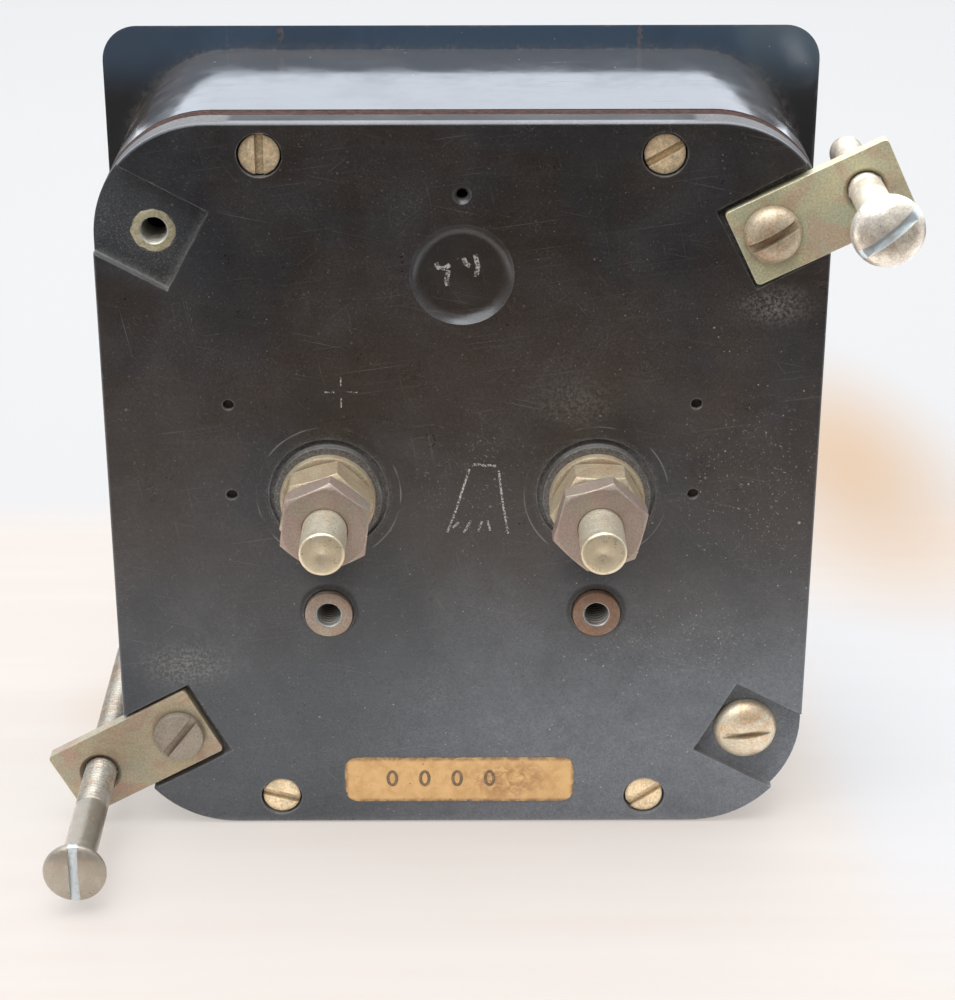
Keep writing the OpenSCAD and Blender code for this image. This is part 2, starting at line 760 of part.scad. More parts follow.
// A flat rectangular ring round the core, seen along Z: half widths hx and the two ends in y.
module coil_ring(hx, y0, y1, t, w) {
    translate([0, 0, pivot_z - w / 2]) difference() {
        translate([-hx - t, y0 - t, 0]) cube([2 * (hx + t), y1 - y0 + 2 * t, w]);
        translate([-hx, y0, -1]) cube([2 * hx, y1 - y0, w + 2]);
    }
}

module coil_former() {
    color("#c3c6c8") coil_ring(former_in, former_y[0], former_y[1], former_t, former_w);
}

module coil_winding() {
    color("#8b3d1e") coil_ring(former_in + former_t, former_y[0] - former_t, former_y[1] + former_t,
        0.55, former_w - 1);
}

// A staff from its disc on the winding to its conical pivot.
module coil_staff(y0, y1) {
    d = sign(y1 - y0);
    translate([0, y0, pivot_z]) rotate([-90 * d, 0, 0]) rotate_extrude() polygon([
        [0, 0], [2.6, 0], [2.6, 0.5], [staff_r, 0.5], [staff_r, abs(y1 - y0) - 0.7],
        [0.08, abs(y1 - y0)], [0, abs(y1 - y0)]
    ]);
}

module coil_staffs() {
    winding_end = 0.55 + former_t + 0.02;
    color("#d0d2d4") {
        coil_staff(former_y[0] - winding_end, -8.1);
        coil_staff(former_y[1] + winding_end, 26.6);
    }
}

module pointer() {
    color("#20201f") slab(pointer_y - 0.2, pointer_y + 0.2) translate([0, pivot_z]) difference() {
        union() {
            circle(2.1);
            polygon([
                [-0.5, 0], [-0.5, -8.6], [0.5, -8.6], [0.5, 0], [0.28, pointer_len - 13],
                [1.3, pointer_len - 9], [0.2, pointer_len - 4], [0.1, pointer_len],
                [-0.1, pointer_len], [-0.2, pointer_len - 4], [-1.3, pointer_len - 9],
                [-0.28, pointer_len - 13]
            ]);
            translate([-6.8, -0.45]) square([13.6, 0.9]);
        }
        circle(staff_r + 0.02);
    }
}

module balance_weights() {
    color("#b5723f") translate([0, pointer_y, pivot_z]) {
        for (sx = [-1, 1]) translate([sx * 4.9, 0, 0]) rotate([0, 90, 0]) weight(2.4);
        translate([0, 0, -6.6]) weight(2.8);
    }
}

module weight(len) {
    difference() {
        cylinder(h = len, r = 1.25, center = true);
        cylinder(h = len + 1, r = 0.75, center = true);
    }
}

function spiral(r0, r1, turns, steps) =
    [for (i = [0:steps]) let (a = 360 * turns * i / steps, r = r0 + (r1 - r0) * i / steps)
        [r * sin(a), r * cos(a)]];

module hairspring(y) {
    ribbon = 0.16;
    steps = 24 * spring_turns;
    outer = spiral(spring_r[0] + ribbon, spring_r[1], spring_turns, steps);
    inner = spiral(spring_r[0], spring_r[1] - ribbon, spring_turns, steps);
    slab(y, y + 0.35) translate([0, pivot_z])
        polygon(concat(outer, [for (i = [steps:-1:0]) inner[i]]));
    difference() {
        rod(0, pivot_z, y, y + 0.35, spring_r[0] + 0.1);
        rod(0, pivot_z, y - 1, y + 1, staff_r + 0.02);
    }
}

module front_hairspring() {
    color("#b5894a") hairspring(-7.25);
}

module rear_hairspring() {
    color("#b5894a") hairspring(24.3);
}

// ---- wiring ----

module wire(points, r) {
    for (i = [0:len(points) - 2]) hull() {
        translate(points[i]) sphere(r, $fn = 12);
        translate(points[i + 1]) sphere(r, $fn = 12);
    }
}

module lead_wires() {
    lug_y = plate_in - 1.35;
    lug_z = -9.6;
    side_x = 40.2;
    color("#7c3524") {
        wire([[-stud_x, lug_y, lug_z], [-stud_x, 34, -16], [-17, 30.6, pivot_z + 4.5], [-16, 29.6, pivot_z + 2.9]],
            0.5);
        wire([[stud_x, lug_y, lug_z], [12, 34, -6], [9, 33, 2], [8.6, 30, resistor_z]], 0.5);
        wire([[8.2, 28, resistor_z - 5], [side_x, 28, 6.9], [side_x, 28, -14], [side_x, -8.5, pivot_z],
            [front_post_x + 3.2, -8.5, pivot_z]], 0.5);
    }
}

module resistor_bobbin() {
    color("#6b2f22") difference() {
        union() {
            rod(0, resistor_z, base_y[1], base_y[1] + 1.2, 7.5);
            rod(0, resistor_z, base_y[1] + 1, 34, 3.6);
            rod(0, resistor_z, 33.8, 35, 7.5);
        }
        rod(0, resistor_z, base_y[1] - 1, 36, 1.8);
    }
}

module resistor_winding() {
    color("#3f6a45") tube(0, resistor_z, base_y[1] + 1.25, 33.75, 6.9, 3.65);
}

module resistor_screw() {
    color("#9a8550") outward(0, resistor_z, 35, 70)
        slotted_screw(round_head(3, 2), 3, 2, 1.75, 14.5);
}

// ---- assembly ----

case_shell();
gasket();
back_plate();
case_screws();
terminal_studs();
terminal_washers();
terminal_nuts();
outer_nut_left();
outer_nut_right();
rear_bushes();
corner_inserts();
clamp_bars();
clamp_screws();
spare_screw();
upper_jack_screw();
lower_jack_screw();
label();
window_glass();
window_retainer();
window_screws();
scale_plate();
scale_posts();
scale_screws();
pointer_stops();
magnet();
pole_pieces();
core();
core_holders();
core_screws();
movement_base();
frame_pillars();
frame_screws();
magnet_screws();
bridge_posts();
front_bridge();
rear_bridge();
bridge_screws();
jewel_screws();
coil_former();
coil_winding();
coil_staffs();
pointer();
balance_weights();
front_hairspring();
rear_hairspring();
zero_adjuster();
zero_adjust_screw();
zero_screw_clip();
inner_nuts();
terminal_lugs();
lead_wires();
resistor_bobbin();
resistor_winding();
resistor_screw();
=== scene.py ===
import json
import math
import random

import bmesh
import bpy
from mathutils import Matrix, Vector


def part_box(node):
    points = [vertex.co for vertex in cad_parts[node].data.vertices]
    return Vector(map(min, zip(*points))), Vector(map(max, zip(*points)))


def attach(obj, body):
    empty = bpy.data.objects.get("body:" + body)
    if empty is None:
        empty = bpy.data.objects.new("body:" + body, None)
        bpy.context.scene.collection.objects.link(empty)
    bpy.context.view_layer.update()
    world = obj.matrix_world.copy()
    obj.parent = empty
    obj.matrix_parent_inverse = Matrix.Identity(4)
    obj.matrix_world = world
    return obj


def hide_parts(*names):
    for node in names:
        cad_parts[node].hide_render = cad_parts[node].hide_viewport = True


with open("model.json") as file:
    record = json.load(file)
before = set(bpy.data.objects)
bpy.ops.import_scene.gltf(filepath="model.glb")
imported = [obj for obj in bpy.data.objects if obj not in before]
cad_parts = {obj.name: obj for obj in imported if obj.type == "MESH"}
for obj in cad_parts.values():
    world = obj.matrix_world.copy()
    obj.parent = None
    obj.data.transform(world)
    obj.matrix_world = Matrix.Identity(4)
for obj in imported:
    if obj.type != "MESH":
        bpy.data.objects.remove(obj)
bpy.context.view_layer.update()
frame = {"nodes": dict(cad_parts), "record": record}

MM = 0.001
RECORD = frame["record"]
MOUNTS = {m["name"]: m for m in RECORD["mounts"]}
JOINTS = {j["name"]: j for j in RECORD["behaviour"]["joints"]}
SLOT_OF = {p["node"]: p["material_slot"] for p in RECORD["subparts"]}
BODY_OF = {n: b for b, members in RECORD["behaviour"]["bodies"].items() for n in members}

# ---- materials

class Nodes:
    """Short ways to add and join the nodes of one tree."""

    def __init__(self, tree):
        self.tree = tree
        self.tree.nodes.clear()

    def add(self, kind, inputs=None, **props):
        """Adds a node. Each input is a value, or the output that feeds it."""
        node = self.tree.nodes.new(kind)
        for key, value in props.items():
            setattr(node, key, value)
        for key, value in (inputs or {}).items():
            socket = node.inputs[key]
            if isinstance(value, bpy.types.NodeSocket):
                self.tree.links.new(value, socket)
            elif isinstance(value, tuple) and socket.type == "RGBA" and len(value) == 3:
                socket.default_value = (*value, 1)
            else:
                socket.default_value = value
        return node

    def math(self, op, a, b=0.0, c=0.0, clamp=False):
        return self.add("ShaderNodeMath", {0: a, 1: b, 2: c}, operation=op, use_clamp=clamp).outputs[0]

    def chain(self, op, first, *others):
        for value in others:
            first = self.math(op, first, value)
        return first

    def plus(self, *values):
        return self.chain("ADD", *values)

    def minus(self, a, b):
        return self.math("SUBTRACT", a, b)

    def away(self, a):
        """The distance of a value from zero."""
        return self.math("ABSOLUTE", a)

    def most(self, *values):
        return self.chain("MAXIMUM", *values)

    def mul(self, *values):
        return self.chain("MULTIPLY", *values)

    def vec(self, op, a, b):
        inputs = {0: a, ("Scale" if op == "SCALE" else 1): b}
        return self.add("ShaderNodeVectorMath", inputs, operation=op).outputs[0]

    def remap(self, value, a, b, lo=0.0, hi=1.0):
        """Goes smoothly from lo at a to hi at b, and stays there beyond them."""
        made = self.add("ShaderNodeMapRange", {"Value": value, "From Min": a, "From Max": b, "To Min": lo,
                                               "To Max": hi}, interpolation_type="SMOOTHSTEP")
        return made.outputs["Result"]

    def mix(self, factor, a, b):
        return self.add("ShaderNodeMix", {0: factor, 6: a, 7: b}, data_type="RGBA").outputs[2]

    def over(self, color, mask, share, top):
        """The colour with a share of another over it where the mask is 1."""
        return self.mix(self.mul(mask, share), color, top)


class Shader(Nodes):
    """A node material. Its texture space is the row frame, in millimetres."""

    def __init__(self, name):
        self.mat = bpy.data.materials.new(name)
        self.mat.use_nodes = True
        super().__init__(self.mat.node_tree)
        coord = self.add("ShaderNodeTexCoord")
        self.p = self.vec("MULTIPLY", coord.outputs["Object"], (1 / MM, 1 / MM, 1 / MM))
        split = self.add("ShaderNodeSeparateXYZ", {0: self.p})
        self.x, self.y, self.z = split.outputs
        self.axes = {"x": self.x, "y": self.y, "z": self.z}
        self.normal = self.add("ShaderNodeNewGeometry").outputs["Normal"]

    def noise(self, size, detail=3.0, rough=0.5, distort=0.0, at=None, shift=0.0):
        where = self.p if at is None else at
        if shift:
            where = self.vec("ADD", where, (shift, shift * 1.7, -shift))
        made = self.add("ShaderNodeTexNoise", {"Vector": where, "Scale": 1 / size, "Detail": detail,
                                               "Roughness": rough, "Distortion": distort})
        return made.outputs["Fac"]

    def patchy(self, size, detail, rough, a, b, lo=0.0, hi=1.0, distort=0.0, shift=0.0):
        """Noise that goes smoothly from lo at a to hi at b."""
        return self.remap(self.noise(size, detail, rough, distort, shift=shift), a, b, lo, hi)

    def specks(self, cell, radius, share, shift=0.0):
        """Round specks: one per cell at most, in the given share of the cells."""
        where = self.vec("ADD", self.p, (shift, shift, shift))
        cells = self.add("ShaderNodeTexVoronoi", {"Vector": where, "Scale": 1 / cell})
        pick = self.add("ShaderNodeSeparateColor", {0: cells.outputs["Color"]})
        reach = self.mul(self.remap(pick.outputs[0], 1 - share, 1, 0, 1), radius / cell)
        inside = self.math("LESS_THAN", cells.outputs["Distance"], reach)
        return self.mul(inside, self.math("GREATER_THAN", reach, 0.001))

    def scratch(self, angle, length, width, cut, shift=0.0, plane="xz"):
        """Fine straight marks along one angle of a plane."""
        a, b = (self.axes[axis] for axis in plane)
        c, s = math.cos(math.radians(angle)), math.sin(math.radians(angle))
        along = self.plus(self.mul(a, c), self.mul(b, s))
        across = self.minus(self.mul(b, c), self.mul(a, s))
        where = self.add("ShaderNodeCombineXYZ", {0: self.mul(along, 1 / length),
                                                  1: self.mul(across, 1 / width), 2: shift})
        field = self.noise(1, detail=1.5, at=where.outputs[0])
        return self.remap(field, cut, cut + 0.035)

    def scratches(self, *rows):
        return self.most(*(self.scratch(*row) for row in rows))

    def distance(self, a, b):
        return self.math("SQRT", self.plus(self.mul(a, a), self.mul(b, b)))

    def rings(self, x, z, radius, half_width):
        """1 along two circles of the XZ plane, about (x, z) and (-x, z)."""
        r = self.distance(self.minus(self.away(self.x), x), self.minus(self.z, z))
        return self.remap(self.away(self.minus(r, radius)), half_width, half_width * 0.3)

    def blob(self, a, b, ra, rb, soft=0.5, plane="xz"):
        """1 inside an ellipse of a plane, falling to 0 at its edge."""
        across, up = (self.axes[axis] for axis in plane)
        reach = self.distance(self.mul(self.minus(across, a), 1 / ra),
                              self.mul(self.minus(up, b), 1 / rb))
        return self.remap(reach, 1, soft)

    def edges(self, radius):
        """1 along edges that turn within the radius."""
        soft = self.add("ShaderNodeBevel", {"Radius": radius * MM}, samples=4)
        same = self.add("ShaderNodeVectorMath", {0: soft.outputs[0], 1: self.normal},
                        operation="DOT_PRODUCT").outputs["Value"]
        return self.remap(self.minus(1, same), 0.02, 0.25)

    def corners(self, reach):
        """1 deep in corners and recesses."""
        ao = self.add("ShaderNodeAmbientOcclusion", {"Distance": reach * MM}, samples=6)
        return self.remap(ao.outputs["AO"], 0.95, 0.35)

    def facing_up(self):
        """1 on faces that look up."""
        parts = self.add("ShaderNodeSeparateXYZ", {0: self.normal})
        return self.remap(parts.outputs[2], 0.6, 0.95)

    def bump(self, height, depth):
        inputs = {"Height": height, "Distance": depth * MM, "Strength": 1.0}
        return self.add("ShaderNodeBump", inputs).outputs[0]

    def finish(self, color, rough, metallic=0.0, normal=None, **more):
        """Joins the colour and the rest to the output. more are inputs with _ for each space."""
        inputs = {"Base Color": color, "Roughness": rough, "Metallic": metallic}
        inputs.update({key.replace("_", " "): value for key, value in more.items()})
        if normal is not None:
            inputs["Normal"] = normal
        bsdf = self.add("ShaderNodeBsdfPrincipled", inputs)
        self.add("ShaderNodeOutputMaterial", {0: bsdf.outputs[0]})
        return self.mat


def box_mm(node):
    lo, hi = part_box(node)
    return lo / MM, hi / MM


LABEL_LO, LABEL_HI = box_mm("label")
LABEL_MID = (LABEL_LO + LABEL_HI) / 2
LABEL_HALF = (LABEL_HI - LABEL_LO) / 2
FACE_Y = LABEL_LO.y  # outer face of the back plate
STUD_LO, STUD_HI = box_mm("terminal_studs")
STUD_R = (STUD_HI.z - STUD_LO.z) / 2
STUD_X = STUD_HI.x - STUD_R
BUSH_LO, BUSH_HI = box_mm("rear_bushes")
BUSH_R = (BUSH_HI.z - BUSH_LO.z) / 2
BUSH_X = BUSH_HI.x - BUSH_R
BUSH_Z = BUSH_LO.z + BUSH_R


def bakelite_back():
    """Old moulded plate: black with a brown cast, dusty, scratched, with light specks."""
    s = Shader("bakelite_back")
    aside = s.away(s.x)

    # The moulding, browner at the top, paler and bluish towards the bottom: dust, and a painted
    # reflection of the bright floor
    patch = s.noise(26, 3, 0.55, 0.4)
    brown = s.mul(s.remap(patch, 0.3, 0.6), s.remap(s.z, -34, 8))
    base = s.mix(brown, (0.0135, 0.014, 0.0165), (0.021, 0.0145, 0.0105))
    cloud = s.noise(19, 4, 0.62, 0.9, shift=40)
    # Painted reflection of the bright floor, with dust: thickest at the bottom, fading towards +X
    low = s.mul(s.remap(s.plus(s.z, s.mul(cloud, -18)), -17, -54),
                s.remap(s.plus(s.x, s.mul(cloud, 30)), 2, 40, 1, 0.3),
                s.patchy(3.2, 4, 0.7, 0.25, 0.6, 0.72, 1, distort=0.6, shift=60))
    streaks = s.noise(1, 3, 0.6, at=s.vec("MULTIPLY", s.p, (0.09, 1, 1.3)), shift=70)
    dust_and_sheen = s.plus(s.mul(low, 0.66), s.remap(cloud, 0.4, 0.7, 0.03, 0.1),
                  s.mul(s.remap(streaks, 0.48, 0.75), 0.03))
    warm = s.mul(s.remap(s.z, 40, 14), s.remap(s.z, -34, -12), s.remap(patch, 0.2, 0.55, 0.4, 1))
    color = s.mix(dust_and_sheen, base, (0.155, 0.17, 0.195))
    color = s.mix(s.mul(warm, s.remap(s.x, 30, -30, 0.07, 0.11)), color, (0.2, 0.15, 0.115))
    # Faces that look up are lighter grey: dust, and a painted highlight on upward edges and walls
    color = s.over(color, s.facing_up(), 0.42, (0.17, 0.165, 0.165))

    # Dark painted shade round the bushes and painted shadows under the terminal nuts
    painted_shadow = s.most(s.mul(s.rings(BUSH_X, BUSH_Z + 0.3, BUSH_R + 0.3, 0.9), 0.8),
                    *(s.mul(s.blob(side * (STUD_X - 0.3), -11.5, 6.5, 4.5, 0.2), 0.65)
                      for side in (-1, 1)))
    color = s.mix(painted_shadow, color, (0.009, 0.007, 0.006))
    grain = s.patchy(0.3, 3, 0.8, 0.3, 0.7, 0.72, 1.28, shift=19)
    color = s.vec("SCALE", color, grain)

    # Dust: in recesses, in the corner pockets, round the terminals, and in pale halos by the bars
    pocket = s.mul(s.remap(s.y, FACE_Y - 0.3, FACE_Y - 1.1), s.remap(aside, 31, 33))
    fine = s.patchy(0.5, 3, 0.7, 0.3, 0.75, 0.2, 1, shift=9)
    grime = s.mul(s.corners(1.6), fine)
    slant = s.minus(s.mul(s.z, -1), s.mul(s.x, -0.5))
    settled = s.remap(s.math("PINGPONG", slant, 13.0), 2, 11)
    dust = s.mul(s.patchy(0.24, 4, 0.85, 0.53, 0.67, shift=33),
                 s.most(s.mul(pocket, s.math("MULTIPLY_ADD", settled, 0.5, 0.12)),
                        s.mul(s.patchy(8, 3, 0.6, 0.5, 0.7, shift=25), 0.22),
                        s.mul(s.rings(STUD_X, 0, 8.6, 0.9), 0.5)))
    boss = s.mul(s.remap(s.y, FACE_Y + 0.4, FACE_Y + 1.0),
                 s.patchy(0.22, 3, 0.8, 0.46, 0.62, 0.1, 1, shift=36))
    halo = s.most(s.blob(-43.5, 28.5, 8, 4.5, 0), s.blob(41, -27.5, 10, 5.5, 0),
                  s.mul(s.blob(-STUD_X + 3, 14, 9, 6, 0), 0.6))
    halo = s.mul(halo, s.patchy(0.45, 4, 0.8, 0.42, 0.62, shift=81))

    # Chips and specks, most of them to the right of the terminals, then scratches
    chips = s.most(s.scratches((25, 1.1, 0.26, 0.69, 41), (-65, 0.7, 0.26, 0.7, 47),
                               (85, 0.5, 0.34, 0.68, 53)), s.specks(1.5, 0.2, 0.3, 61))
    chipped = s.most(s.blob(-42, 2, 17, 19, 0.2), s.mul(s.blob(-32, -24, 22, 12, 0.3), 0.8),
                     s.mul(s.blob(-2, 3, 14, 14, 0.2), 0.6), 0.15)
    chips = s.mul(chips, s.patchy(2.1, 3, 0.7, 0.35, 0.6, 0.25, 1.2, shift=57), chipped)
    dots = s.most(s.specks(1.3, 0.14, 0.4), s.specks(2.6, 0.22, 0.26, 7), s.specks(0.8, 0.1, 0.34, 3))
    low_right = s.remap(s.minus(s.mul(s.x, -1), s.z), -40, 60, 0.3, 1)
    dots = s.mul(dots, low_right, s.patchy(7, 2, 0.5, 0.35, 0.6, 0.3, 1, shift=90))
    scuffs = s.scratches((12, 16, 0.2, 0.7), (-38, 11, 0.18, 0.715, 5), (78, 13, 0.18, 0.71, 11),
                         (52, 9, 0.2, 0.73, 17), (-8, 22, 0.16, 0.69, 23))
    scuffs = s.mul(scuffs, s.patchy(11, 3, 0.6, 0.35, 0.65, 0.2, 1, shift=27))
    # A faint pale ring round each terminal
    rings = s.mul(s.rings(STUD_X, 0, 10.35, 0.13), s.patchy(5, 2, 0.5, 0.42, 0.62, 0, 0.8))
    dirty = s.most(s.mul(grime, 0.5), s.mul(scuffs, 0.15), s.mul(rings, 0.4), s.mul(dots, 0.75),
                   s.mul(dust, 0.7), s.mul(boss, 0.42), s.mul(halo, 0.3), s.mul(chips, 0.6))
    color = s.mix(dirty, color, (0.42, 0.41, 0.38))

    # Painted shade makes the small holes dark inside, and the plate's edges are worn
    painted_hole_shade = s.mul(s.remap(s.y, FACE_Y - 1.45, FACE_Y - 1.75), s.remap(aside, 33, 31))
    color = s.over(color, painted_hole_shade, 0.9, (0.003, 0.003, 0.003))
    wear = s.mul(s.edges(0.4), s.patchy(1.6, 3, 0.7, 0.4, 0.62, 0.3, 1, shift=3))
    color = s.over(color, wear, 0.5, (0.34, 0.35, 0.36))
    rough = s.plus(s.patchy(7, 4, 0.6, 0.3, 0.7, 0.27, 0.4, shift=21),
                   s.mul(s.most(dirty, pocket, painted_hole_shade, painted_shadow), 0.35))
    relief = s.minus(s.mul(s.noise(1.1, 3, 0.6), 0.35), s.mul(scuffs, 0.15))
    return s.finish(color, rough, normal=s.bump(relief, 0.02), IOR=1.6,
                    Specular_IOR_Level=0.5, Specular_Tint=(0.85, 0.93, 1.0))


def bakelite_case():
    """The polished case: almost a mirror, with brown wear on its corners, a bluish painted sheen on the
    flange's upper rear face, and dust with a painted sheen on top.
    """
    s = Shader("bakelite_case")
    patch = s.patchy(20, 3, 0.6, 0.45, 0.75, distort=0.5)
    base = s.mix(patch, (0.011, 0.0105, 0.0115), (0.026, 0.019, 0.016))
    behind = s.remap(s.y, 0.6, 0.1)
    # A bluish painted sheen on the flange's upper rear face
    painted_flange_sheen = s.mul(s.remap(s.z, 46, 56), behind, s.remap(s.y, -1.6, -0.7))
    base = s.mix(s.mul(behind, 0.9), base, (0.015, 0.017, 0.02))
    base = s.mix(s.mul(painted_flange_sheen, s.remap(patch, 0, 1, 1, 0.8)), base, (0.045, 0.074, 0.115))
    wear = s.mul(s.edges(0.8), s.patchy(7, 3, 0.65, 0.45, 0.7, 0.03, 0.7, shift=3))
    scuffs = s.scratches((4, 22, 0.3, 0.72, 0, "xy"), (86, 18, 0.3, 0.73, 6, "yz"),
                         (60, 10, 0.3, 0.75, 13, "xy"))
    dots = s.mul(s.specks(1.4, 0.16, 0.22), 0.6)
    grime = s.mul(s.corners(2.2), s.patchy(1.2, 4, 0.7, 0.3, 0.8, 0.1, 1))
    drips = s.most(s.blob(27.2, 56.6, 0.7, 2.0), s.blob(-26.8, 56.2, 0.6, 2.2))
    drips = s.mul(drips, s.remap(s.away(s.y), 3.5, 1.0), s.patchy(0.9, 3, 0.75, 0.42, 0.6))
    dirty = s.most(s.mul(scuffs, 0.22), dots, s.mul(grime, 0.5))
    color = s.mix(dirty, base, (0.23, 0.21, 0.19))
    color = s.over(color, wear, 0.4, (0.3, 0.25, 0.2))
    smear = s.mul(s.remap(s.away(s.x), 36, 44), s.remap(s.z, 40, 48), s.remap(s.y, 0.4, 1),
                  s.patchy(2.2, 5, 0.8, 0.42, 0.68, distort=0.3, shift=44))
    color = s.over(color, smear, 0.4, (0.17, 0.125, 0.09))
    # The top, behind the flange, goes bluish grey: dust and a painted sheen
    color = s.mix(s.mul(s.facing_up(), s.remap(s.y, 0, 1), 0.1), color, (0.46, 0.5, 0.56))
    color = s.over(color, drips, 0.8, (0.13, 0.075, 0.045))
    rough = s.plus(s.patchy(9, 4, 0.6, 0.35, 0.7, 0.09, 0.2, shift=21),
                   s.mul(s.most(dirty, s.mul(wear, 0.6), drips), 0.45))
    relief = s.minus(s.mul(s.noise(6, 2, 0.5), 0.5), s.mul(scuffs, 0.2))
    return s.finish(color, rough, normal=s.bump(relief, 0.03), IOR=1.7,
                    Specular_IOR_Level=0.75, Specular_Tint=(0.8, 0.9, 1.0))


def metal(name, main, other, dirt_and_shade, rough, size=2.5, worn=None, grit=0.03, dirt_and_shade_amount=0.7,
          metallic=0.7, stain=None, tint=None, bore_glints=None, slot_glint=None, zone=None):
    """Aged metal: two patina tones, stains, grime and painted shade in corners and grooves, brighter worn
    edges, fine pitting.

    tint is (axis, colour at its low end, colour at its high end). bores is (centres, radius,
    colour) of a painted highlight on the threads inside holes. strip is (x, z, seat, turn, half
    width, colour) of a painted reflection across a screw slot. zone is (y where it starts, y where it is
    full, colour).
    """
    s = Shader(name)
    color = s.mix(s.patchy(size, 4, 0.65, 0.34, 0.66, distort=0.6), main, other)
    if stain:
        blotch = s.patchy(size * 1.6, 4, 0.75, 0.47, 0.62, distort=1.2, shift=51)
        color = s.over(color, blotch, 0.65, stain)
    color = s.vec("SCALE", color, s.patchy(0.3, 3, 0.8, 0.3, 0.7, 0.8, 1.2, shift=23))
    spots = s.patchy(0.45, 3, 0.7, 0.56, 0.76, shift=13)
    color = s.over(color, spots, 0.3, dirt_and_shade)
    if worn:
        wear = s.mul(s.edges(0.3), s.patchy(0.8, 2, 0.6, 0.3, 0.6, 0.3, 1, shift=5))
        color = s.over(color, wear, 0.6, worn)
    # Grime with painted shade: corners, slots and thread grooves go darker
    grime = s.mul(s.corners(0.8), s.patchy(0.7, 3, 0.6, 0.25, 0.6, 0.4, 1, shift=31))
    color = s.over(color, grime, dirt_and_shade_amount, dirt_and_shade)
    if tint:
        axis, near, far = tint
        color = s.vec("MULTIPLY", color, s.mix(s.remap(s.axes[axis], -8, 8), near, far))
    if zone:
        start, full, zone_color = zone
        patchy = s.patchy(2.2, 4, 0.7, 0.3, 0.6, 0.35, 0.85, shift=65)
        color = s.mix(s.mul(s.remap(s.y, start, full), patchy), color, zone_color)
    # Painted highlight on the threads inside the holes
    if bore_glints:
        centres, radius, glint = bore_glints
        inside = s.most(*(s.blob(x, z, radius, radius, 0.92) for x, z in centres))
        color = s.over(color, inside, 0.85, glint)
    # Painted reflection of the light across the screw slot
    if slot_glint:
        x, z, seat, turn, half, glint = slot_glint
        c, d = math.cos(math.radians(turn)), math.sin(math.radians(turn))
        off = s.plus(s.mul(s.minus(s.x, x), d), s.mul(s.minus(s.z, z), c))
        color = s.mix(s.mul(s.remap(s.away(off), half + 0.06, half - 0.06),
                            s.remap(s.y, seat - 0.1, seat + 0.1),
                            s.patchy(0.8, 3, 0.5, 0.3, 0.5, 0.5, 1)), color, glint)
    matt = s.most(s.mul(spots, 0.4), s.mul(grime, 0.9))
    uneven = s.patchy(size * 0.5, 4, 0.7, 0.3, 0.7, rough - 0.06, rough + 0.1, shift=3)
    rough_out = s.math("ADD", uneven, s.mul(matt, 0.25), clamp=True)
    metal_out = s.remap(matt, 0, 1, metallic, metallic * 0.5)
    height = s.plus(s.noise(0.3, 3, 0.65), s.mul(s.noise(1.6, 2, shift=8), 0.8))
    return s.finish(color, rough_out, metal_out, normal=s.bump(height, grit))


def gasket_fibre():
    s = Shader("gasket_fibre")
    grain = s.noise(0.55, 4, 0.7)
    layers = s.noise(1, 2, at=s.vec("MULTIPLY", s.p, (0.05, 1.6, 0.05)))
    color = s.mix(s.remap(grain, 0.35, 0.7), (0.02, 0.009, 0.007), (0.07, 0.031, 0.024))
    color = s.mix(s.remap(layers, 0.5, 0.7, 0, 0.35), color, (0.08, 0.058, 0.05))
    return s.finish(color, 0.9, normal=s.bump(s.plus(grain, layers), 0.12), Specular_IOR_Level=0.2)


def label_paper():
    """Tan paper, worn darker at one side, with dark dirty edges."""
    s = Shader("label_paper")
    fibre = s.noise(0.35, 4, 0.7)
    mottled = s.noise(2.4, 4, 0.65, 0.5)
    color = s.mix(s.remap(mottled, 0.35, 0.68), (0.68, 0.44, 0.2), (0.56, 0.34, 0.14))
    worn = s.mul(s.blob(LABEL_MID.x - LABEL_HALF.x * 0.42, LABEL_MID.z, LABEL_HALF.x * 0.5,
                        LABEL_HALF.z * 1.15, 0.3),
                 s.patchy(1.3, 4, 0.75, 0.38, 0.62, distort=0.7, shift=4))
    color = s.over(color, worn, 0.75, (0.33, 0.17, 0.08))
    dx = s.minus(LABEL_HALF.x, s.away(s.minus(s.x, LABEL_MID.x)))
    dz = s.minus(LABEL_HALF.z, s.away(s.minus(s.z, LABEL_MID.z)))
    rim = s.remap(s.math("MINIMUM", dx, dz), 0.75, 0.1)
    rim = s.mul(rim, s.patchy(1.4, 3, 0.7, 0.35, 0.6, 0.3, 1, shift=14))
    color = s.over(color, rim, 0.8, (0.14, 0.08, 0.05))
    specks = s.most(s.specks(1.0, 0.14, 0.3), s.scratch(20, 5, 0.15, 0.74))
    color = s.over(color, specks, 0.6, (0.1, 0.06, 0.04))
    return s.finish(color, 0.7, normal=s.bump(s.plus(fibre, mottled), 0.06))


def glass_pane():
    s = Shader("glass_pane")
    dust = s.most(s.specks(2.2, 0.12, 0.2), s.mul(s.scratch(30, 10, 0.2, 0.76), 0.6))
    rough = s.plus(s.patchy(12, 2, 0.5, 0.4, 0.7, 0.0, 0.03), s.mul(dust, 0.4))
    return s.finish((0.95, 0.975, 0.97), rough, IOR=1.46, Transmission_Weight=1.0)


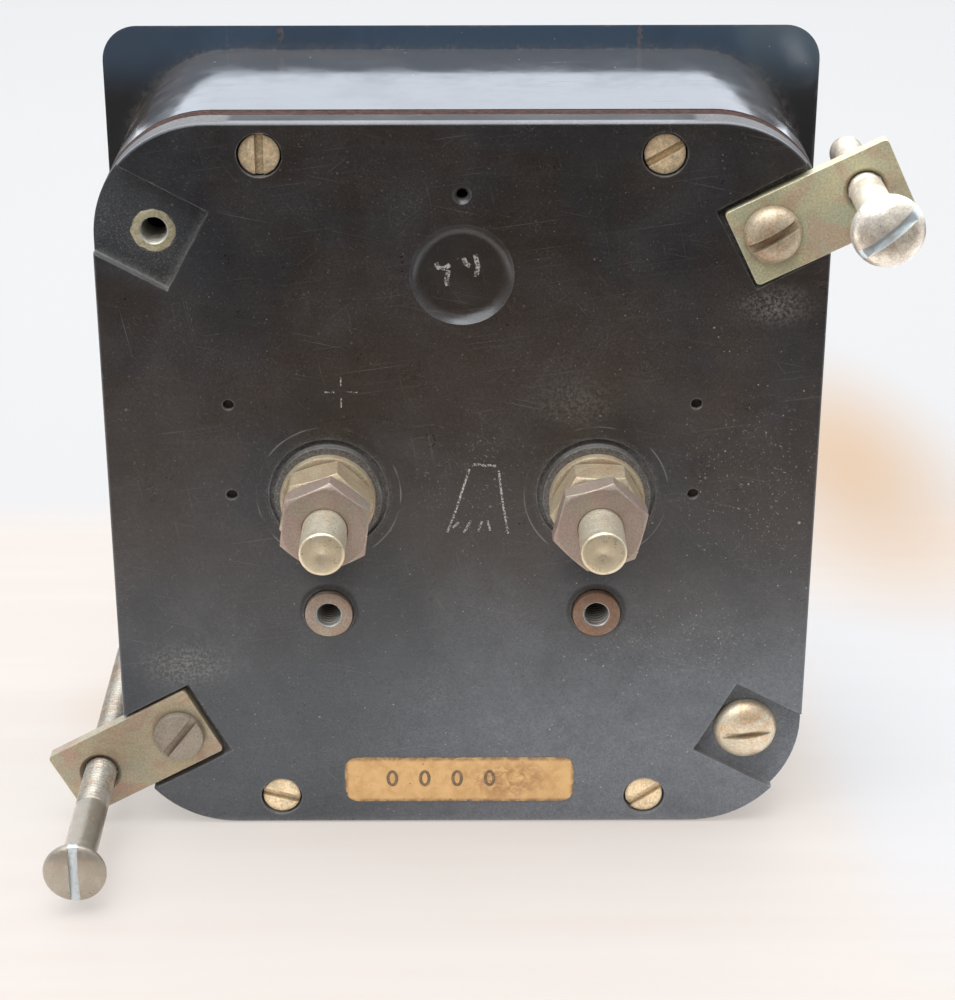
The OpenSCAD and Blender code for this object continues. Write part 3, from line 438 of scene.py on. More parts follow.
def paint(name, color, other, rough, size=6.0, speck=None):
    """Paint or moulding with uneven tone, faint relief and specks."""
    s = Shader(name)
    tone = s.patchy(size, 4, 0.6, 0.36, 0.68, distort=0.4)
    out = s.mix(tone, color, other)
    if speck:
        out = s.mix(s.mul(s.specks(1.9, 0.16, 0.25), 0.7), out, speck)
    wear = s.mul(s.edges(0.25), s.patchy(0.9, 2, 0.5, 0.4, 0.6, 0.1, 0.6))
    out = s.mix(wear, out, tuple(min(1.0, c * 1.7 + 0.04) for c in color))
    uneven = s.patchy(size * 0.4, 3, 0.5, 0.3, 0.7, rough - 0.06, rough + 0.08)
    return s.finish(out, uneven, normal=s.bump(s.noise(0.6, 3, 0.6), 0.03))


def wound(name, bright, dark, pitch, axis, rough, metallic=0.0):
    """Fine wire laid side by side across the given axis."""
    s = Shader(name)
    phase = s.mul(s.plus(s.axes[axis], s.mul(s.noise(3, 2), 0.3)), 2 * math.pi / pitch)
    turns = s.remap(s.math("SINE", phase), -1, 1)
    tone = s.patchy(1.8, 3, 0.6, 0.35, 0.65)
    color = s.mix(turns, dark, s.mix(tone, bright, tuple(c * 0.72 for c in bright)))
    return s.finish(color, rough, metallic, normal=s.bump(turns, pitch * 0.3))


DIRT_AND_SHADE = (0.1, 0.075, 0.05)
MATERIALS = {
    "bakelite": bakelite_case(),
    "gasket": gasket_fibre(),
    "brass": metal("aged_brass", (0.66, 0.53, 0.33), (0.5, 0.38, 0.22), DIRT_AND_SHADE, 0.4,
        worn=(0.85, 0.76, 0.58)),
    "plated_steel": metal("olive_plating", (0.46, 0.4, 0.27), (0.4, 0.34, 0.23),
        (0.13, 0.105, 0.07), 0.46, size=3.5, worn=(0.62, 0.58, 0.48),
        metallic=0.6, stain=(0.42, 0.28, 0.19)),
    "stud_plating": metal("bright_nickel", (0.68, 0.65, 0.54), (0.64, 0.58, 0.45),
        (0.22, 0.17, 0.1), 0.32, worn=(0.8, 0.76, 0.66), metallic=0.65,
        zone=(STUD_HI.y - 1.5, STUD_HI.y - 0.2, (0.64, 0.55, 0.38))),
    "nut_plating": metal("pinkish_plating", (0.44, 0.35, 0.29), (0.4, 0.29, 0.24),
        (0.2, 0.13, 0.08), 0.4, worn=(0.66, 0.6, 0.5), metallic=0.6,
        stain=(0.36, 0.33, 0.25)),
    "copper": metal("bare_copper", (0.3, 0.225, 0.17), (0.26, 0.195, 0.155), (0.15, 0.09, 0.05), 0.46,
        worn=(0.5, 0.42, 0.34), metallic=0.5, stain=(0.33, 0.2, 0.12),
        tint=("x", (0.75, 0.66, 0.62), (1.08, 1.2, 1.3)),
        # A painted highlight on the bushes' threads
        bore_glints=([(sx * BUSH_X, BUSH_Z) for sx in (-1, 1)], 2.0, (0.6, 0.66, 0.66))),
    "paper": label_paper(),
    "glass": glass_pane(),
    "black_paint": paint("black_japan", (0.018, 0.017, 0.017), (0.035, 0.032, 0.03), 0.42),
    "scale_paint": paint("cream_enamel", (0.9, 0.86, 0.72), (0.84, 0.78, 0.62), 0.5, 14,
        speck=(0.42, 0.33, 0.2)),
    "magnet_steel": metal("blued_steel", (0.13, 0.145, 0.165), (0.2, 0.2, 0.2), (0.09, 0.05, 0.03),
        0.42, size=5, worn=(0.4, 0.4, 0.4)),
    "soft_iron": metal("soft_iron", (0.42, 0.42, 0.42), (0.34, 0.33, 0.31), (0.15, 0.09, 0.06),
        0.36, worn=(0.62, 0.62, 0.6)),
    "aluminium": metal("cast_aluminium", (0.62, 0.63, 0.64), (0.54, 0.54, 0.53),
        (0.25, 0.24, 0.22), 0.4, worn=(0.8, 0.8, 0.8)),
    "phenolic": paint("brown_phenolic", (0.12, 0.05, 0.03), (0.2, 0.09, 0.05), 0.4, 4),
    "silk": wound("green_silk", (0.1, 0.27, 0.15), (0.03, 0.1, 0.05), 0.35, "z", 0.85),
    "enamelled_wire": wound("enamelled_wire", (0.5, 0.17, 0.06), (0.12, 0.035, 0.015), 0.28, "y",
        0.28, 0.35),
}
PLATE = bakelite_back()

# ---- mesh helpers

SHARP = math.radians(38)  # edges that turn by more than this look sharp
DONE = set()  # CAD nodes that a piece stands for


def new_object(name, data):
    made = bpy.data.objects.new(name, data)
    bpy.context.scene.collection.objects.link(made)
    return made


def piece(name, bm, node, material=None, slot=None, stands_for=True):
    """Turns a bmesh into a piece that rides with the CAD node's body."""
    bmesh.ops.recalc_face_normals(bm, faces=bm.faces)
    for face in bm.faces:
        face.smooth = True
    for edge in bm.edges:
        if len(edge.link_faces) == 2 and edge.calc_face_angle(0) > SHARP:
            edge.smooth = False
    mesh = bpy.data.meshes.new(name)
    bm.to_mesh(mesh)
    bm.free()
    made = new_object(name, mesh)
    slot = slot or SLOT_OF[node]
    mesh.materials.append(material or MATERIALS[slot])
    weigh = made.modifiers.new("even_shading", "WEIGHTED_NORMAL")
    weigh.keep_sharp = True
    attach(made, BODY_OF[node])
    if stands_for:
        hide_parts(node)
        DONE.add(node)


def cad_mesh(node):
    """A cleaned copy of a CAD node's mesh: shared corners, and one face per flat."""
    bm = bmesh.new()
    bm.from_mesh(frame["nodes"][node].data)
    bmesh.ops.remove_doubles(bm, verts=bm.verts, dist=0.002 * MM)
    bmesh.ops.dissolve_limit(bm, angle_limit=math.radians(0.5), verts=bm.verts, edges=bm.edges)
    return bm


def ease(bm, width, segments=2, pick=None, angle=32.0):
    """Rounds the edges that pick(midpoint in mm) accepts."""
    chosen = []
    for edge in bm.edges:
        if len(edge.link_faces) != 2 or edge.calc_face_angle(0) < math.radians(angle):
            continue
        middle = (edge.verts[0].co + edge.verts[1].co) / 2 / MM
        if pick is None or pick(middle):
            chosen.append(edge)
    bmesh.ops.bevel(bm, geom=chosen, offset=width * MM, offset_type="OFFSET", segments=segments,
                    profile=0.5, affect="EDGES", clamp_overlap=True, miter_outer="SHARP")


def refined(node, width, segments=2, material=None, picks=()):
    """The CAD node with eased edges. picks are (width, segments, pick), and the rest come last."""
    bm = cad_mesh(node)
    for pick_width, pick_segments, pick in picks:
        ease(bm, pick_width, pick_segments, pick)
    ease(bm, width, segments)
    piece(node + "_body", bm, node, material)


def corner(bm, x, y, z):
    return bm.verts.new(Vector((x, y, z)) * MM)


def ring_at(bm, cx, cz, y, radius, seg, grow=None):
    """A loop of corners at height y. grow(step) is how much farther out each one lies."""
    made = []
    for i in range(seg):
        a = 2 * math.pi * (i / seg)
        r = radius + (grow(i) if grow else 0)
        made.append(corner(bm, cx + r * math.cos(a), y, cz + r * math.sin(a)))
    return made


def thread(y, seg, pitch, depth):
    """The depth of a thread at height y, as a function of the step round it."""
    return lambda i: depth * (0.5 + 0.5 * math.cos(2 * math.pi * ((y / pitch - i / seg) % 1.0)))


def band(bm, low, high):
    """Faces between two closed loops. A loop of one corner is a tip."""
    for i in range(max(len(low), len(high))):
        corners = []
        for ring, k in ((low, i), (low, i + 1), (high, i + 1), (high, i)):
            vert = ring[k % len(ring)]
            if vert not in corners:
                corners.append(vert)
        bm.faces.new(corners)


def turned(bm, cx, cz, rows, seg=64, pitch=None, cut=0.0):
    """A closed turned solid about (cx, cz). rows are (y, radius, thread share) along the axis."""
    rings = []
    for y, radius, share in rows:
        if radius > 0:
            grow = thread(y, seg, pitch, -cut * share) if share else None
            rings.append(ring_at(bm, cx, cz, y, radius, seg, grow))
        else:
            rings.append([corner(bm, cx, y, cz)])
    for low, high in zip(rings, rings[1:]):
        band(bm, low, high)
    for ring in (rings[0], rings[-1]):
        if len(ring) > 1:
            bm.faces.new(ring)


def hollow(bm, cx, cz, rows, seg=72, pitch=None, cut=0.0, outline=None):
    """A closed ring about (cx, cz). rows go round its section: (y, radius, thread share).

    A share below zero marks a row that follows outline(step) instead of a thread.
    """
    rings = []
    for y, radius, share in rows:
        grow = None
        if share > 0:
            grow = thread(y, seg, pitch, cut * share)
        elif share < 0:
            grow = outline
        rings.append(ring_at(bm, cx, cz, y, radius, seg, grow))
    for low, high in zip(rings, rings[1:] + rings[:1]):
        band(bm, low, high)


def carve(bm, cutter):
    """Takes the cutter's volume out of bm, and returns the new bmesh."""
    objects = []
    for part in (bm, cutter):
        bmesh.ops.recalc_face_normals(part, faces=part.faces)
        mesh = bpy.data.meshes.new("carve")
        part.to_mesh(mesh)
        part.free()
        objects.append(new_object("carve", mesh))
    body, tool = objects
    work = body.modifiers.new("cut", "BOOLEAN")
    work.operation = "DIFFERENCE"
    work.solver = "EXACT"
    work.object = tool
    shaped = body.evaluated_get(bpy.context.evaluated_depsgraph_get())
    out = bmesh.new()
    out.from_mesh(shaped.to_mesh())
    shaped.to_mesh_clear()
    for made in objects:
        mesh = made.data
        bpy.data.objects.remove(made)
        bpy.data.meshes.remove(mesh)
    return out


def slot_cutter(cx, cz, y0, y1, length, width, turn):
    bm = bmesh.new()
    bmesh.ops.create_cube(bm, size=1)
    for vert in bm.verts:
        along, up, across = vert.co.x * length, (vert.co.y + 0.5) * (y1 - y0) + y0, vert.co.z * width
        a = math.radians(turn)
        vert.co = Vector((cx + along * math.cos(a) + across * math.sin(a), up,
                          cz - along * math.sin(a) + across * math.cos(a))) * MM
    return bm


def thread_rows(y0, y1, radius, pitch, steps=8, fade=0.8):
    """Rows of a thread from y0 to y1 that fades out at both ends."""
    count = max(2, round(abs(y1 - y0) / pitch * steps))
    rows = []
    for i in range(count + 1):
        y = y0 + (y1 - y0) * i / count
        share = min(1.0, abs(y - y0) / (fade * pitch), abs(y1 - y) / (fade * pitch))
        rows.append((y, radius, max(share, 0.0001)))
    return rows


def dome(seat, height, radius, rim, steps=10):
    """Rows of a round head from its seat to its crown."""
    rows = [(seat, radius - 0.15, 0), (seat + 0.15, radius, 0), (seat + rim, radius, 0)]
    for i in range(1, steps + 1):
        a = math.pi / 2 * i / steps
        rows.append((seat + rim + (height - rim) * math.sin(a), radius * math.cos(a), 0))
    rows[-1] = (seat + height, 0, 0)
    return rows


def disc(seat, height, radius, crown, edge=0.18, steps=5):
    """Rows of a flat head with a rounded edge and a slightly crowned top."""
    top = seat + height - crown
    rows = [(seat, radius - 0.1, 0), (seat + 0.1, radius, 0), (top - edge, radius, 0),
            (top - edge * 0.3, radius - edge * 0.3, 0), (top, radius - edge, 0)]
    for i in range(1, steps + 1):
        share = 1 - i / steps
        rows.append((top + crown * (1 - share ** 2), (radius - edge) * share, 0))
    rows[-1] = (seat + height, 0, 0)
    return rows


def slotted_head(cx, cz, rows, turn, slot_width, slot_depth):
    """A turned head with a slot sawn across it, its slot's edges eased."""
    seat, top = rows[0][0], rows[-1][0]
    radius = max(row[1] for row in rows)
    bm = bmesh.new()
    turned(bm, cx, cz, rows)
    bm = carve(bm, slot_cutter(cx, cz, top - slot_depth, top + 2, 2 * radius + 2, slot_width, turn))
    bmesh.ops.remove_doubles(bm, verts=bm.verts, dist=0.004 * MM)
    ease(bm, 0.12, 2, lambda p: p.y > max(seat + 0.2, top - slot_depth - 0.05), 50)
    return bm


def shank(cx, cz, tip, seat, radius, thread_end, cut, seg):
    """A threaded shank with a rounded tip, plain from thread_end to its head."""
    rows = [(tip, 0, 0)]
    for i in range(6):
        a = math.pi / 2 * i / 5
        rows.append((tip + 0.5 * radius * (1 - math.cos(a)), radius * (0.35 + 0.65 * math.sin(a)), 0))
    rows += thread_rows(tip + 0.55 * radius, thread_end, radius, PITCH)
    rows.append((seat + 0.2, radius, 0))
    bm = bmesh.new()
    turned(bm, cx, cz, rows, seg, PITCH, cut)
    return bm


def merge(parts):
    out = bmesh.new()
    for bm in parts:
        bmesh.ops.recalc_face_normals(bm, faces=bm.faces)
        mesh = bpy.data.meshes.new("part")
        bm.to_mesh(mesh)
        bm.free()
        out.from_mesh(mesh)
        bpy.data.meshes.remove(mesh)
    return out


def screw(x, z, head, turn, slot, tip, radius, thread_end=None, cut=0.15, seg=32):
    """A slotted screw. head is its rows from its seat up, and slot is (width, depth)."""
    seat = head[0][0]
    if thread_end is None:
        thread_end = seat - 1
    return merge([slotted_head(x, z, head, turn, *slot),
                  shank(x, z, tip, seat, radius, thread_end, cut, seg)])


# ---- case and back plate

CASE_FRONT = Vector((42, -5.5, 46))  # the case's front edges lie beyond these
PLATE_HALF = box_mm("back_plate")[1]
PLATE_ROUND = 16.4  # radius of the plate's corners
POCKETS = Vector((34, FACE_Y - 2.2, 30))  # the corner pockets lie beyond these


def on_plate_rim(p):
    x, z = abs(p.x), abs(p.z)
    if x > PLATE_HALF.x - 0.1 or z > PLATE_HALF.z - 0.1:
        return True
    dx, dz = x - PLATE_HALF.x + PLATE_ROUND, z - PLATE_HALF.z + PLATE_ROUND
    return dx > 0 and dz > 0 and math.hypot(dx, dz) > PLATE_ROUND - 0.4


refined("case_shell", 0.3, picks=[
    (0.7, 3, lambda p: p.y < CASE_FRONT.y and (abs(p.x) > CASE_FRONT.x or abs(p.z) > CASE_FRONT.z))])
refined("gasket", 0.3)
refined("back_plate", 0.2, 2, PLATE, picks=[
    (0.4, 3, lambda p: p.y > FACE_Y - 0.2 and on_plate_rim(p)),
    (0.4, 2, lambda p: abs(p.x) > POCKETS.x and abs(p.z) > POCKETS.z and POCKETS.y < p.y < FACE_Y + 0.1)])

# ---- fasteners at the back

CORNER = Vector(MOUNTS["empty_corner_insert"]["pos_m"]) / MM
POCKET_Y = box_mm("corner_inserts")[1].y
BAR_TOP = box_mm("clamp_bars")[1].y
PITCH = 0.8  # of the No. 8 and No. 10 threads
CASE_HEAD_R, CASE_SCREW_R = 2.85, 1.72
CLAMP_SCREW_R = 1.75
JACK_R, JACK_SLOT = 2.41, 1.35

bar = metal("clamp_plating", (0.40, 0.345, 0.22), (0.33, 0.315, 0.22), (0.13, 0.1, 0.065), 0.45,
            size=4.5, worn=(0.55, 0.5, 0.38), metallic=0.5, stain=(0.37, 0.235, 0.17), grit=0.04,
            tint=("z", (0.92, 0.92, 0.98), (1.55, 1.7, 1.75)))
clamp_head = metal("clamp_head", (0.5, 0.43, 0.31), (0.42, 0.35, 0.26), (0.14, 0.1, 0.07), 0.42,
                   size=2.2, worn=(0.66, 0.58, 0.46), metallic=0.5, stain=(0.4, 0.26, 0.15))
screw_brass = metal("screw_brass", (0.96, 0.79, 0.54), (0.8, 0.62, 0.4), (0.16, 0.11, 0.07), 0.38,
                    size=1.8, worn=(0.95, 0.85, 0.66), metallic=0.55, stain=(0.5, 0.47, 0.32))

SCREWS_LO, SCREWS_HI = box_mm("case_screws")
seat = FACE_Y - 2.3
parts = []
for sx, sz, turn in ((1, 1, 90), (-1, 1, 30), (1, -1, -15), (-1, -1, 35)):
    parts.append(screw(sx * (-SCREWS_LO.x - CASE_HEAD_R), sz * (SCREWS_HI.z - CASE_HEAD_R),
                       disc(seat, 1.9, CASE_HEAD_R, 0.08), turn, (1.2, 0.8), seat - 14, CASE_SCREW_R))
piece("case_screws_body", merge(parts), "case_screws", screw_brass)

piece("clamp_screw_upper", screw(-CORNER.x, CORNER.z, dome(BAR_TOP, 2.8, 4, 0.6), 30, (1.3, 1.3),
                                 BAR_TOP - 8, CLAMP_SCREW_R), "clamp_screws", clamp_head)
piece("clamp_screw_lower", screw(CORNER.x, -CORNER.z, disc(BAR_TOP, 1.6, 3.75, 0.22, 0.3), 52,
                                 (1.15, 0.8), BAR_TOP - 8, CLAMP_SCREW_R), "clamp_screws",
      metal("dull_head", (0.29, 0.26, 0.215), (0.25, 0.215, 0.175), (0.12, 0.09, 0.06), 0.42, size=3,
            worn=(0.42, 0.3, 0.18), metallic=0.5))
piece("spare_screw_body", screw(-CORNER.x, -CORNER.z, dome(POCKET_Y, 3.1, 4.7, 0.45, 12), 7,
                                (1.05, 1.1), POCKET_Y - 6, CLAMP_SCREW_R), "spare_screw",
      metal("spare_plating", (0.68, 0.62, 0.48), (0.6, 0.54, 0.42), (0.22, 0.17, 0.12), 0.36, size=3,
            worn=(0.7, 0.62, 0.5), metallic=0.5, stain=(0.56, 0.36, 0.2)))


def jack_screw(name, mount, head, turn, slot_depth, thread_end, tint, stain, slot_glint_color, zone):
    """A long screw through a clamp bar. head is its dome's (height, radius, rim, steps)."""
    x, _, z = Vector(MOUNTS[mount]["pos_m"]) / MM
    lo, hi = box_mm(name)
    seat = hi.y - head[0]
    # The slot's colour is a painted reflection of the light in the slot
    steel = metal(name + "_steel", (0.64, 0.57, 0.45), (0.5, 0.44, 0.37), (0.2, 0.15, 0.1), 0.33,
                  size=2.6, worn=(0.62, 0.5, 0.38), metallic=0.55, stain=stain, dirt_and_shade_amount=0.5,
                  tint=("z", tint, tint), slot_glint=(x, z, seat, turn, JACK_SLOT / 2, slot_glint_color), zone=zone)
    made = screw(x, z, dome(seat, *head), turn, (JACK_SLOT, slot_depth), lo.y, JACK_R, thread_end,
                 0.32, 48)
    piece(name + "_body", made, name, steel)


jack_screw("upper_jack_screw", "upper_clamp", head=(3.2, 4.84, 0.7, 12), turn=40, slot_depth=1.0,
           thread_end=BAR_TOP + 1.8, tint=(1.42, 1.52, 1.66), stain=(0.42, 0.33, 0.25),
           slot_glint_color=(0.8, 0.92, 1.0), zone=(BAR_TOP - 1, BAR_TOP - 4, (0.33, 0.28, 0.23)))
bare = BAR_TOP + 11.6  # where the lower jack screw's plain part starts
jack_screw("lower_jack_screw", "lower_clamp", head=(1.8, 4.52, 0.45, 10), turn=90, slot_depth=0.85,
           thread_end=bare, tint=(0.55, 0.59, 0.64), stain=(0.5, 0.3, 0.16),
           slot_glint_color=(0.42, 0.47, 0.5), zone=(bare - 0.4, bare + 0.4, (0.27, 0.24, 0.195)))

refined("clamp_bars", 0.3, 3, bar)

# ---- terminals

nut_faces = metal("nut_faces", (0.35, 0.285, 0.24), (0.34, 0.25, 0.22), (0.2, 0.13, 0.08), 0.42,
                  size=4, worn=(0.55, 0.48, 0.36), metallic=0.45, stain=(0.31, 0.29, 0.23))
collar = metal("collar_plating", (0.47, 0.41, 0.28), (0.42, 0.35, 0.25), (0.2, 0.15, 0.09), 0.45,
               size=3, worn=(0.6, 0.54, 0.4), metallic=0.45, stain=(0.42, 0.3, 0.2))

STUD_PITCH = 0.9
parts = []
for sx in (-1, 1):
    top = STUD_HI.y
    rows = [(STUD_LO.y, 0, 0), (STUD_LO.y, STUD_R - 0.5, 0), (STUD_LO.y + 0.5, STUD_R, 0)]
    rows += thread_rows(STUD_LO.y + 0.6, top - 0.9, STUD_R, STUD_PITCH, 6)
    rows += [(top - 0.5, STUD_R, 0), (top - 0.34, STUD_R, 0), (top - 0.14, STUD_R - 0.12, 0),
             (top - 0.03, STUD_R - 0.34, 0), (top, STUD_R - 0.6, 0), (top, 0.35, 0), (top - 0.1, 0, 0)]
    bm = bmesh.new()
    turned(bm, sx * STUD_X, 0, rows, 72, STUD_PITCH, 0.035)
    parts.append(bm)
piece("terminal_studs_body", merge(parts), "terminal_studs")
refined("terminal_nuts", 0.14, 2, collar)
for name in ("outer_nut_left", "outer_nut_right"):
    refined(name, 0.14, 2, nut_faces)
WASHER_LO, WASHER_HI = box_mm("terminal_washers")
WASHER_R, WASHER_BORE = 6.85, 3.4
bm = bmesh.new()
for sx in (-1, 1):
    low, top = WASHER_LO.y, WASHER_HI.y
    hollow(bm, sx * STUD_X, 0, [
        (low, WASHER_R - 0.35, 0), (low + 0.1, WASHER_R - 0.1, 0), (low + 0.4, WASHER_R, 0),
        (top - 0.45, WASHER_R, 0), (top - 0.15, WASHER_R - 0.15, 0), (top, WASHER_R - 0.5, 0),
        (top, WASHER_BORE, 0), (low, WASHER_BORE, 0)], 96)
piece("terminal_washers_body", bm, "terminal_washers", collar)

SLEEVE_SEG = 72


def sleeve(bm, cx, cz, y0, y1, outer, bore, lip, burr=None):
    """A threaded sleeve. burr(step) pushes the rim of its face out, step by step round it."""
    push = -1 if burr else 0
    rows = [(y0, outer - 0.2, 0), (y0 + 0.2, outer, 0), (y1 - 0.3, outer, 0),
            (y1 - 0.06, outer, push), (y1, outer - 0.12, push), (y1, bore + lip + 0.1, 0),
            (y1 - 0.12, bore + lip, 0), (y1 - 0.12 - lip, bore, 0)]
    rows += thread_rows(y1 - 0.2 - lip, y0 + 0.3, bore, PITCH, 7)
    rows.append((y0, bore + 0.2, 0))
    hollow(bm, cx, cz, rows, SLEEVE_SEG, PITCH, 0.3, burr)


def ragged(knots):
    """A burr that runs straight from knot to knot round a sleeve."""
    steps = SLEEVE_SEG // len(knots)

    def push(i):
        k, share = i // steps, i % steps / steps
        return knots[k] * (1 - share) + knots[(k + 1) % len(knots)] * share
    return push


bm = bmesh.new()
for sx in (-1, 1):
    sleeve(bm, sx * BUSH_X, BUSH_Z, BUSH_LO.y, BUSH_HI.y, BUSH_R, 1.8, 0.12)
piece("rear_bushes_body", bm, "rear_bushes")

rng = random.Random(11)
bm = bmesh.new()
INSERT_LO, INSERT_HI = box_mm("corner_inserts")
for sx in (-1, 1):
    for sz in (-1, 1):
        knots = [rng.uniform(-0.16, 0.12) + (0.3 if rng.random() < 0.2 else 0) for _ in range(24)]
        sleeve(bm, sx * CORNER.x, sz * CORNER.z, INSERT_LO.y, INSERT_HI.y + 0.05,
               INSERT_HI.x - CORNER.x, 1.85, 0.1, ragged(knots))
piece("corner_inserts_body", bm, "corner_inserts", metal(
    "insert_brass", (0.56, 0.54, 0.4), (0.47, 0.43, 0.28), (0.18, 0.14, 0.08), 0.42, size=1.2,
    worn=(0.6, 0.58, 0.46), metallic=0.5, grit=0.06, stain=(0.3, 0.26, 0.15),
    # A painted highlight on the inserts' threads
    bore_glints=([(sx * CORNER.x, sz * CORNER.z) for sx in (-1, 1) for sz in (-1, 1)], 2.05,
           (0.66, 0.68, 0.66))))


def torn_label():
    """A thin paper label with worn corners, a nibbled lower edge and slightly lifted middle."""
    radius, steps, spacing = 2.0, 10, 0.35
    outline = []
    for cx, cz, start in ((1, 1, 0), (-1, 1, 90), (-1, -1, 180), (1, -1, 270)):
        for i in range(steps + 1):
            a = math.radians(start + 90 * i / steps)
            outline.append((cx * (LABEL_HALF.x - radius) + radius * math.cos(a),
                            cz * (LABEL_HALF.z - radius) + radius * math.sin(a)))
    dense = []
    for (x0, z0), (x1, z1) in zip(outline, outline[1:] + outline[:1]):
        count = max(1, round(math.hypot(x1 - x0, z1 - z0) / spacing))
        dense += [(x0 + (x1 - x0) * i / count, z0 + (z1 - z0) * i / count) for i in range(count)]
    luck = random.Random(5)
    bite = [luck.uniform(0, 0.09) + (luck.uniform(0.1, 0.3) if luck.random() < 0.05 else 0)
            for _ in dense]
    bm = bmesh.new()
    rings = []
    low, top = LABEL_LO.y, LABEL_HI.y
    for y, share in ((low - 0.01, 1.0), (top - 0.05, 1.0), (top, 0.993), (top + 0.02, 0.9),
                     (top + 0.05, 0.6), (top + 0.03, 0.3)):
        ring = []
        for (x, z), cut in zip(dense, bite):
            reach = share * (1 - cut / math.hypot(x, z)) - (0.004 if z < 0 and share == 1 else 0)
            ring.append(corner(bm, LABEL_MID.x + x * reach, y, LABEL_MID.z + z * reach))
        rings.append(ring)
    for inner, outer in zip(rings, rings[1:]):
        band(bm, inner, outer)
    bm.faces.new(rings[0])
    bm.faces.new(rings[-1])
    piece("label_body", bm, "label")


torn_label()

# ---- printing and chalk

def ribbon(bm, points, width, y0, y1, place):
    """A flat stroke along the points. place turns (u, v) into (x, z)."""
    left, right = [], []
    for i, (u, v) in enumerate(points):
        before, after = points[max(i - 1, 0)], points[min(i + 1, len(points) - 1)]
        du, dv = after[0] - before[0], after[1] - before[1]
        size = math.hypot(du, dv) or 1
        nu, nv = -dv / size * width / 2, du / size * width / 2
        left.append((u + nu, v + nv))
        right.append((u - nu, v - nv))
    loop = [place(u, v) for u, v in left + right[::-1]]
    rings = [[corner(bm, x, y, z) for x, z in loop] for y in (y0, y1)]
    band(bm, *rings)
    count = len(loop)
    for ring in rings:
        for i in range(len(left) - 1):
            bm.faces.new([ring[i], ring[i + 1], ring[count - 2 - i], ring[count - 1 - i]])


def arc(cu, cv, ru, rv, start, end, steps=14):
    return [(cu + ru * math.cos(math.radians(start + (end - start) * i / steps)),
             cv + rv * math.sin(math.radians(start + (end - start) * i / steps)))
            for i in range(steps + 1)]


DIGITS = {
    "0": [arc(0, 0, 0.75, 1.35, 0, 359, 24)],
    "1": [[(-0.45, 0.8), (0, 1.35), (0, -1.35)]],
    "2": [arc(0, 0.62, 0.72, 0.73, 160, -35, 14) + [(-0.78, -1.35), (0.8, -1.35)]],
    "3": [arc(0, 0.66, 0.68, 0.69, 150, -90, 14), arc(0, -0.66, 0.74, 0.69, 90, -150, 14)],
}


def write(bm, text, size, gap, width, y0, y1, place):
    """A line of numbers centred at the place's origin, size times the stroke height of 2.7."""
    for k, char in enumerate(text):
        shift = (k - (len(text) - 1) / 2) * gap
        for line in DIGITS.get(char, []):
            ribbon(bm, [((u + shift) * size, v * size) for u, v in line], width, y0, y1, place)


# Generic numbers on the label, read from behind, and old chalk strokes that spell nothing.
bm = bmesh.new()
write(bm, "0000", 0.86, 5.7, 0.5, LABEL_HI.y + 0.02, LABEL_HI.y + 0.07,
      lambda u, v: (LABEL_MID.x + 2.8 - u, LABEL_MID.z + 0.3 + v))
piece("label_numbers", bm, "label", paint("stamp_ink", (0.13, 0.09, 0.05), (0.26, 0.17, 0.09), 0.6, 0.8),
      stands_for=False)


def chalk_marks():
    """Broken chalk: grains of white with the dark plate between them."""
    s = Shader("chalk")
    grains = s.patchy(0.3, 4, 0.8, 0.44, 0.56)
    color = s.mix(grains, (0.035, 0.033, 0.031), (0.5, 0.49, 0.46))
    return s.finish(color, 0.85, normal=s.bump(grains, 0.05))


def chalk_piece(name, strokes):
    """strokes are (lines, width, y they lie on, how thick, place)."""
    bm = bmesh.new()
    for lines, width, y, thick, place in strokes:
        for points in lines:
            ribbon(bm, points, width, y - 0.01, y + thick, place)
    piece(name, bm, "back_plate", CHALK, "scale_paint", stands_for=False)


CHALK = chalk_marks()
DISH_Z, DISH_DEPTH = 30.1, 1.3  # the round dish moulded in the plate
chalk_piece("chalk_in_dish", [
    ([[(3.6, 4.2), (3.3, 3.5), (2.4, 3.4), (1.7, 3.9)], [(1.9, 3.1), (2.2, 1.6), (2.0, 0.9)],
      [(-0.2, 4.9), (-0.5, 4.1), (-1.1, 3.7)], [(-1.8, 5.4), (-2.2, 3.6), (-1.9, 2.2)]],
     0.62, FACE_Y - DISH_DEPTH, 0.05, lambda u, v: (u, DISH_Z + v))])
arms = [math.radians(90 * arm) for arm in range(4)]
cross = [[(math.cos(a) * r, math.sin(a) * r) for r in (0.9, 2.3)] for a in arms]
chalk_piece("chalk_on_plate", [
    ([[(2.6, 0.4), (1.6, 2.6), (-0.6, 8.6)], [(-1.2, 9.2), (-4.4, 9.0)],
      [(-4.8, 8.4), (-5.4, 4.2), (-6.2, 0.2)], [(1.8, 1.0), (0.9, 1.7)], [(0.2, 0.3), (-0.8, 1.9)],
      [(-1.9, 0.5), (-2.4, 1.8)], [(-3.6, 0.6), (-3.2, 1.9)]],
     0.3, FACE_Y, 0.03, lambda u, v: (u - 0.4, v * 1.2 - 6.4)),
    (cross, 0.2, FACE_Y, 0.02, lambda u, v: (STUD_X + u - 2.1, v + 15.7))])

# ---- dial printing

PIVOT_Z = JOINTS["coil_swing"]["pos_m"][2] / MM
ARC_R = 41.5  # of the scale's heavy line
STEP_DEG, STEPS, LONG_EVERY = 2.4, 15, 5  # marks: their spacing, how many a side, every long one
dial_y = box_mm("scale_plate")[0].y
INK = (dial_y - 0.03, dial_y + 0.01)


def polar(turn):
    a = math.radians(turn)
    return lambda u, v: (u * math.cos(a) + v * math.sin(a), PIVOT_Z - u * math.sin(a) + v * math.cos(a))


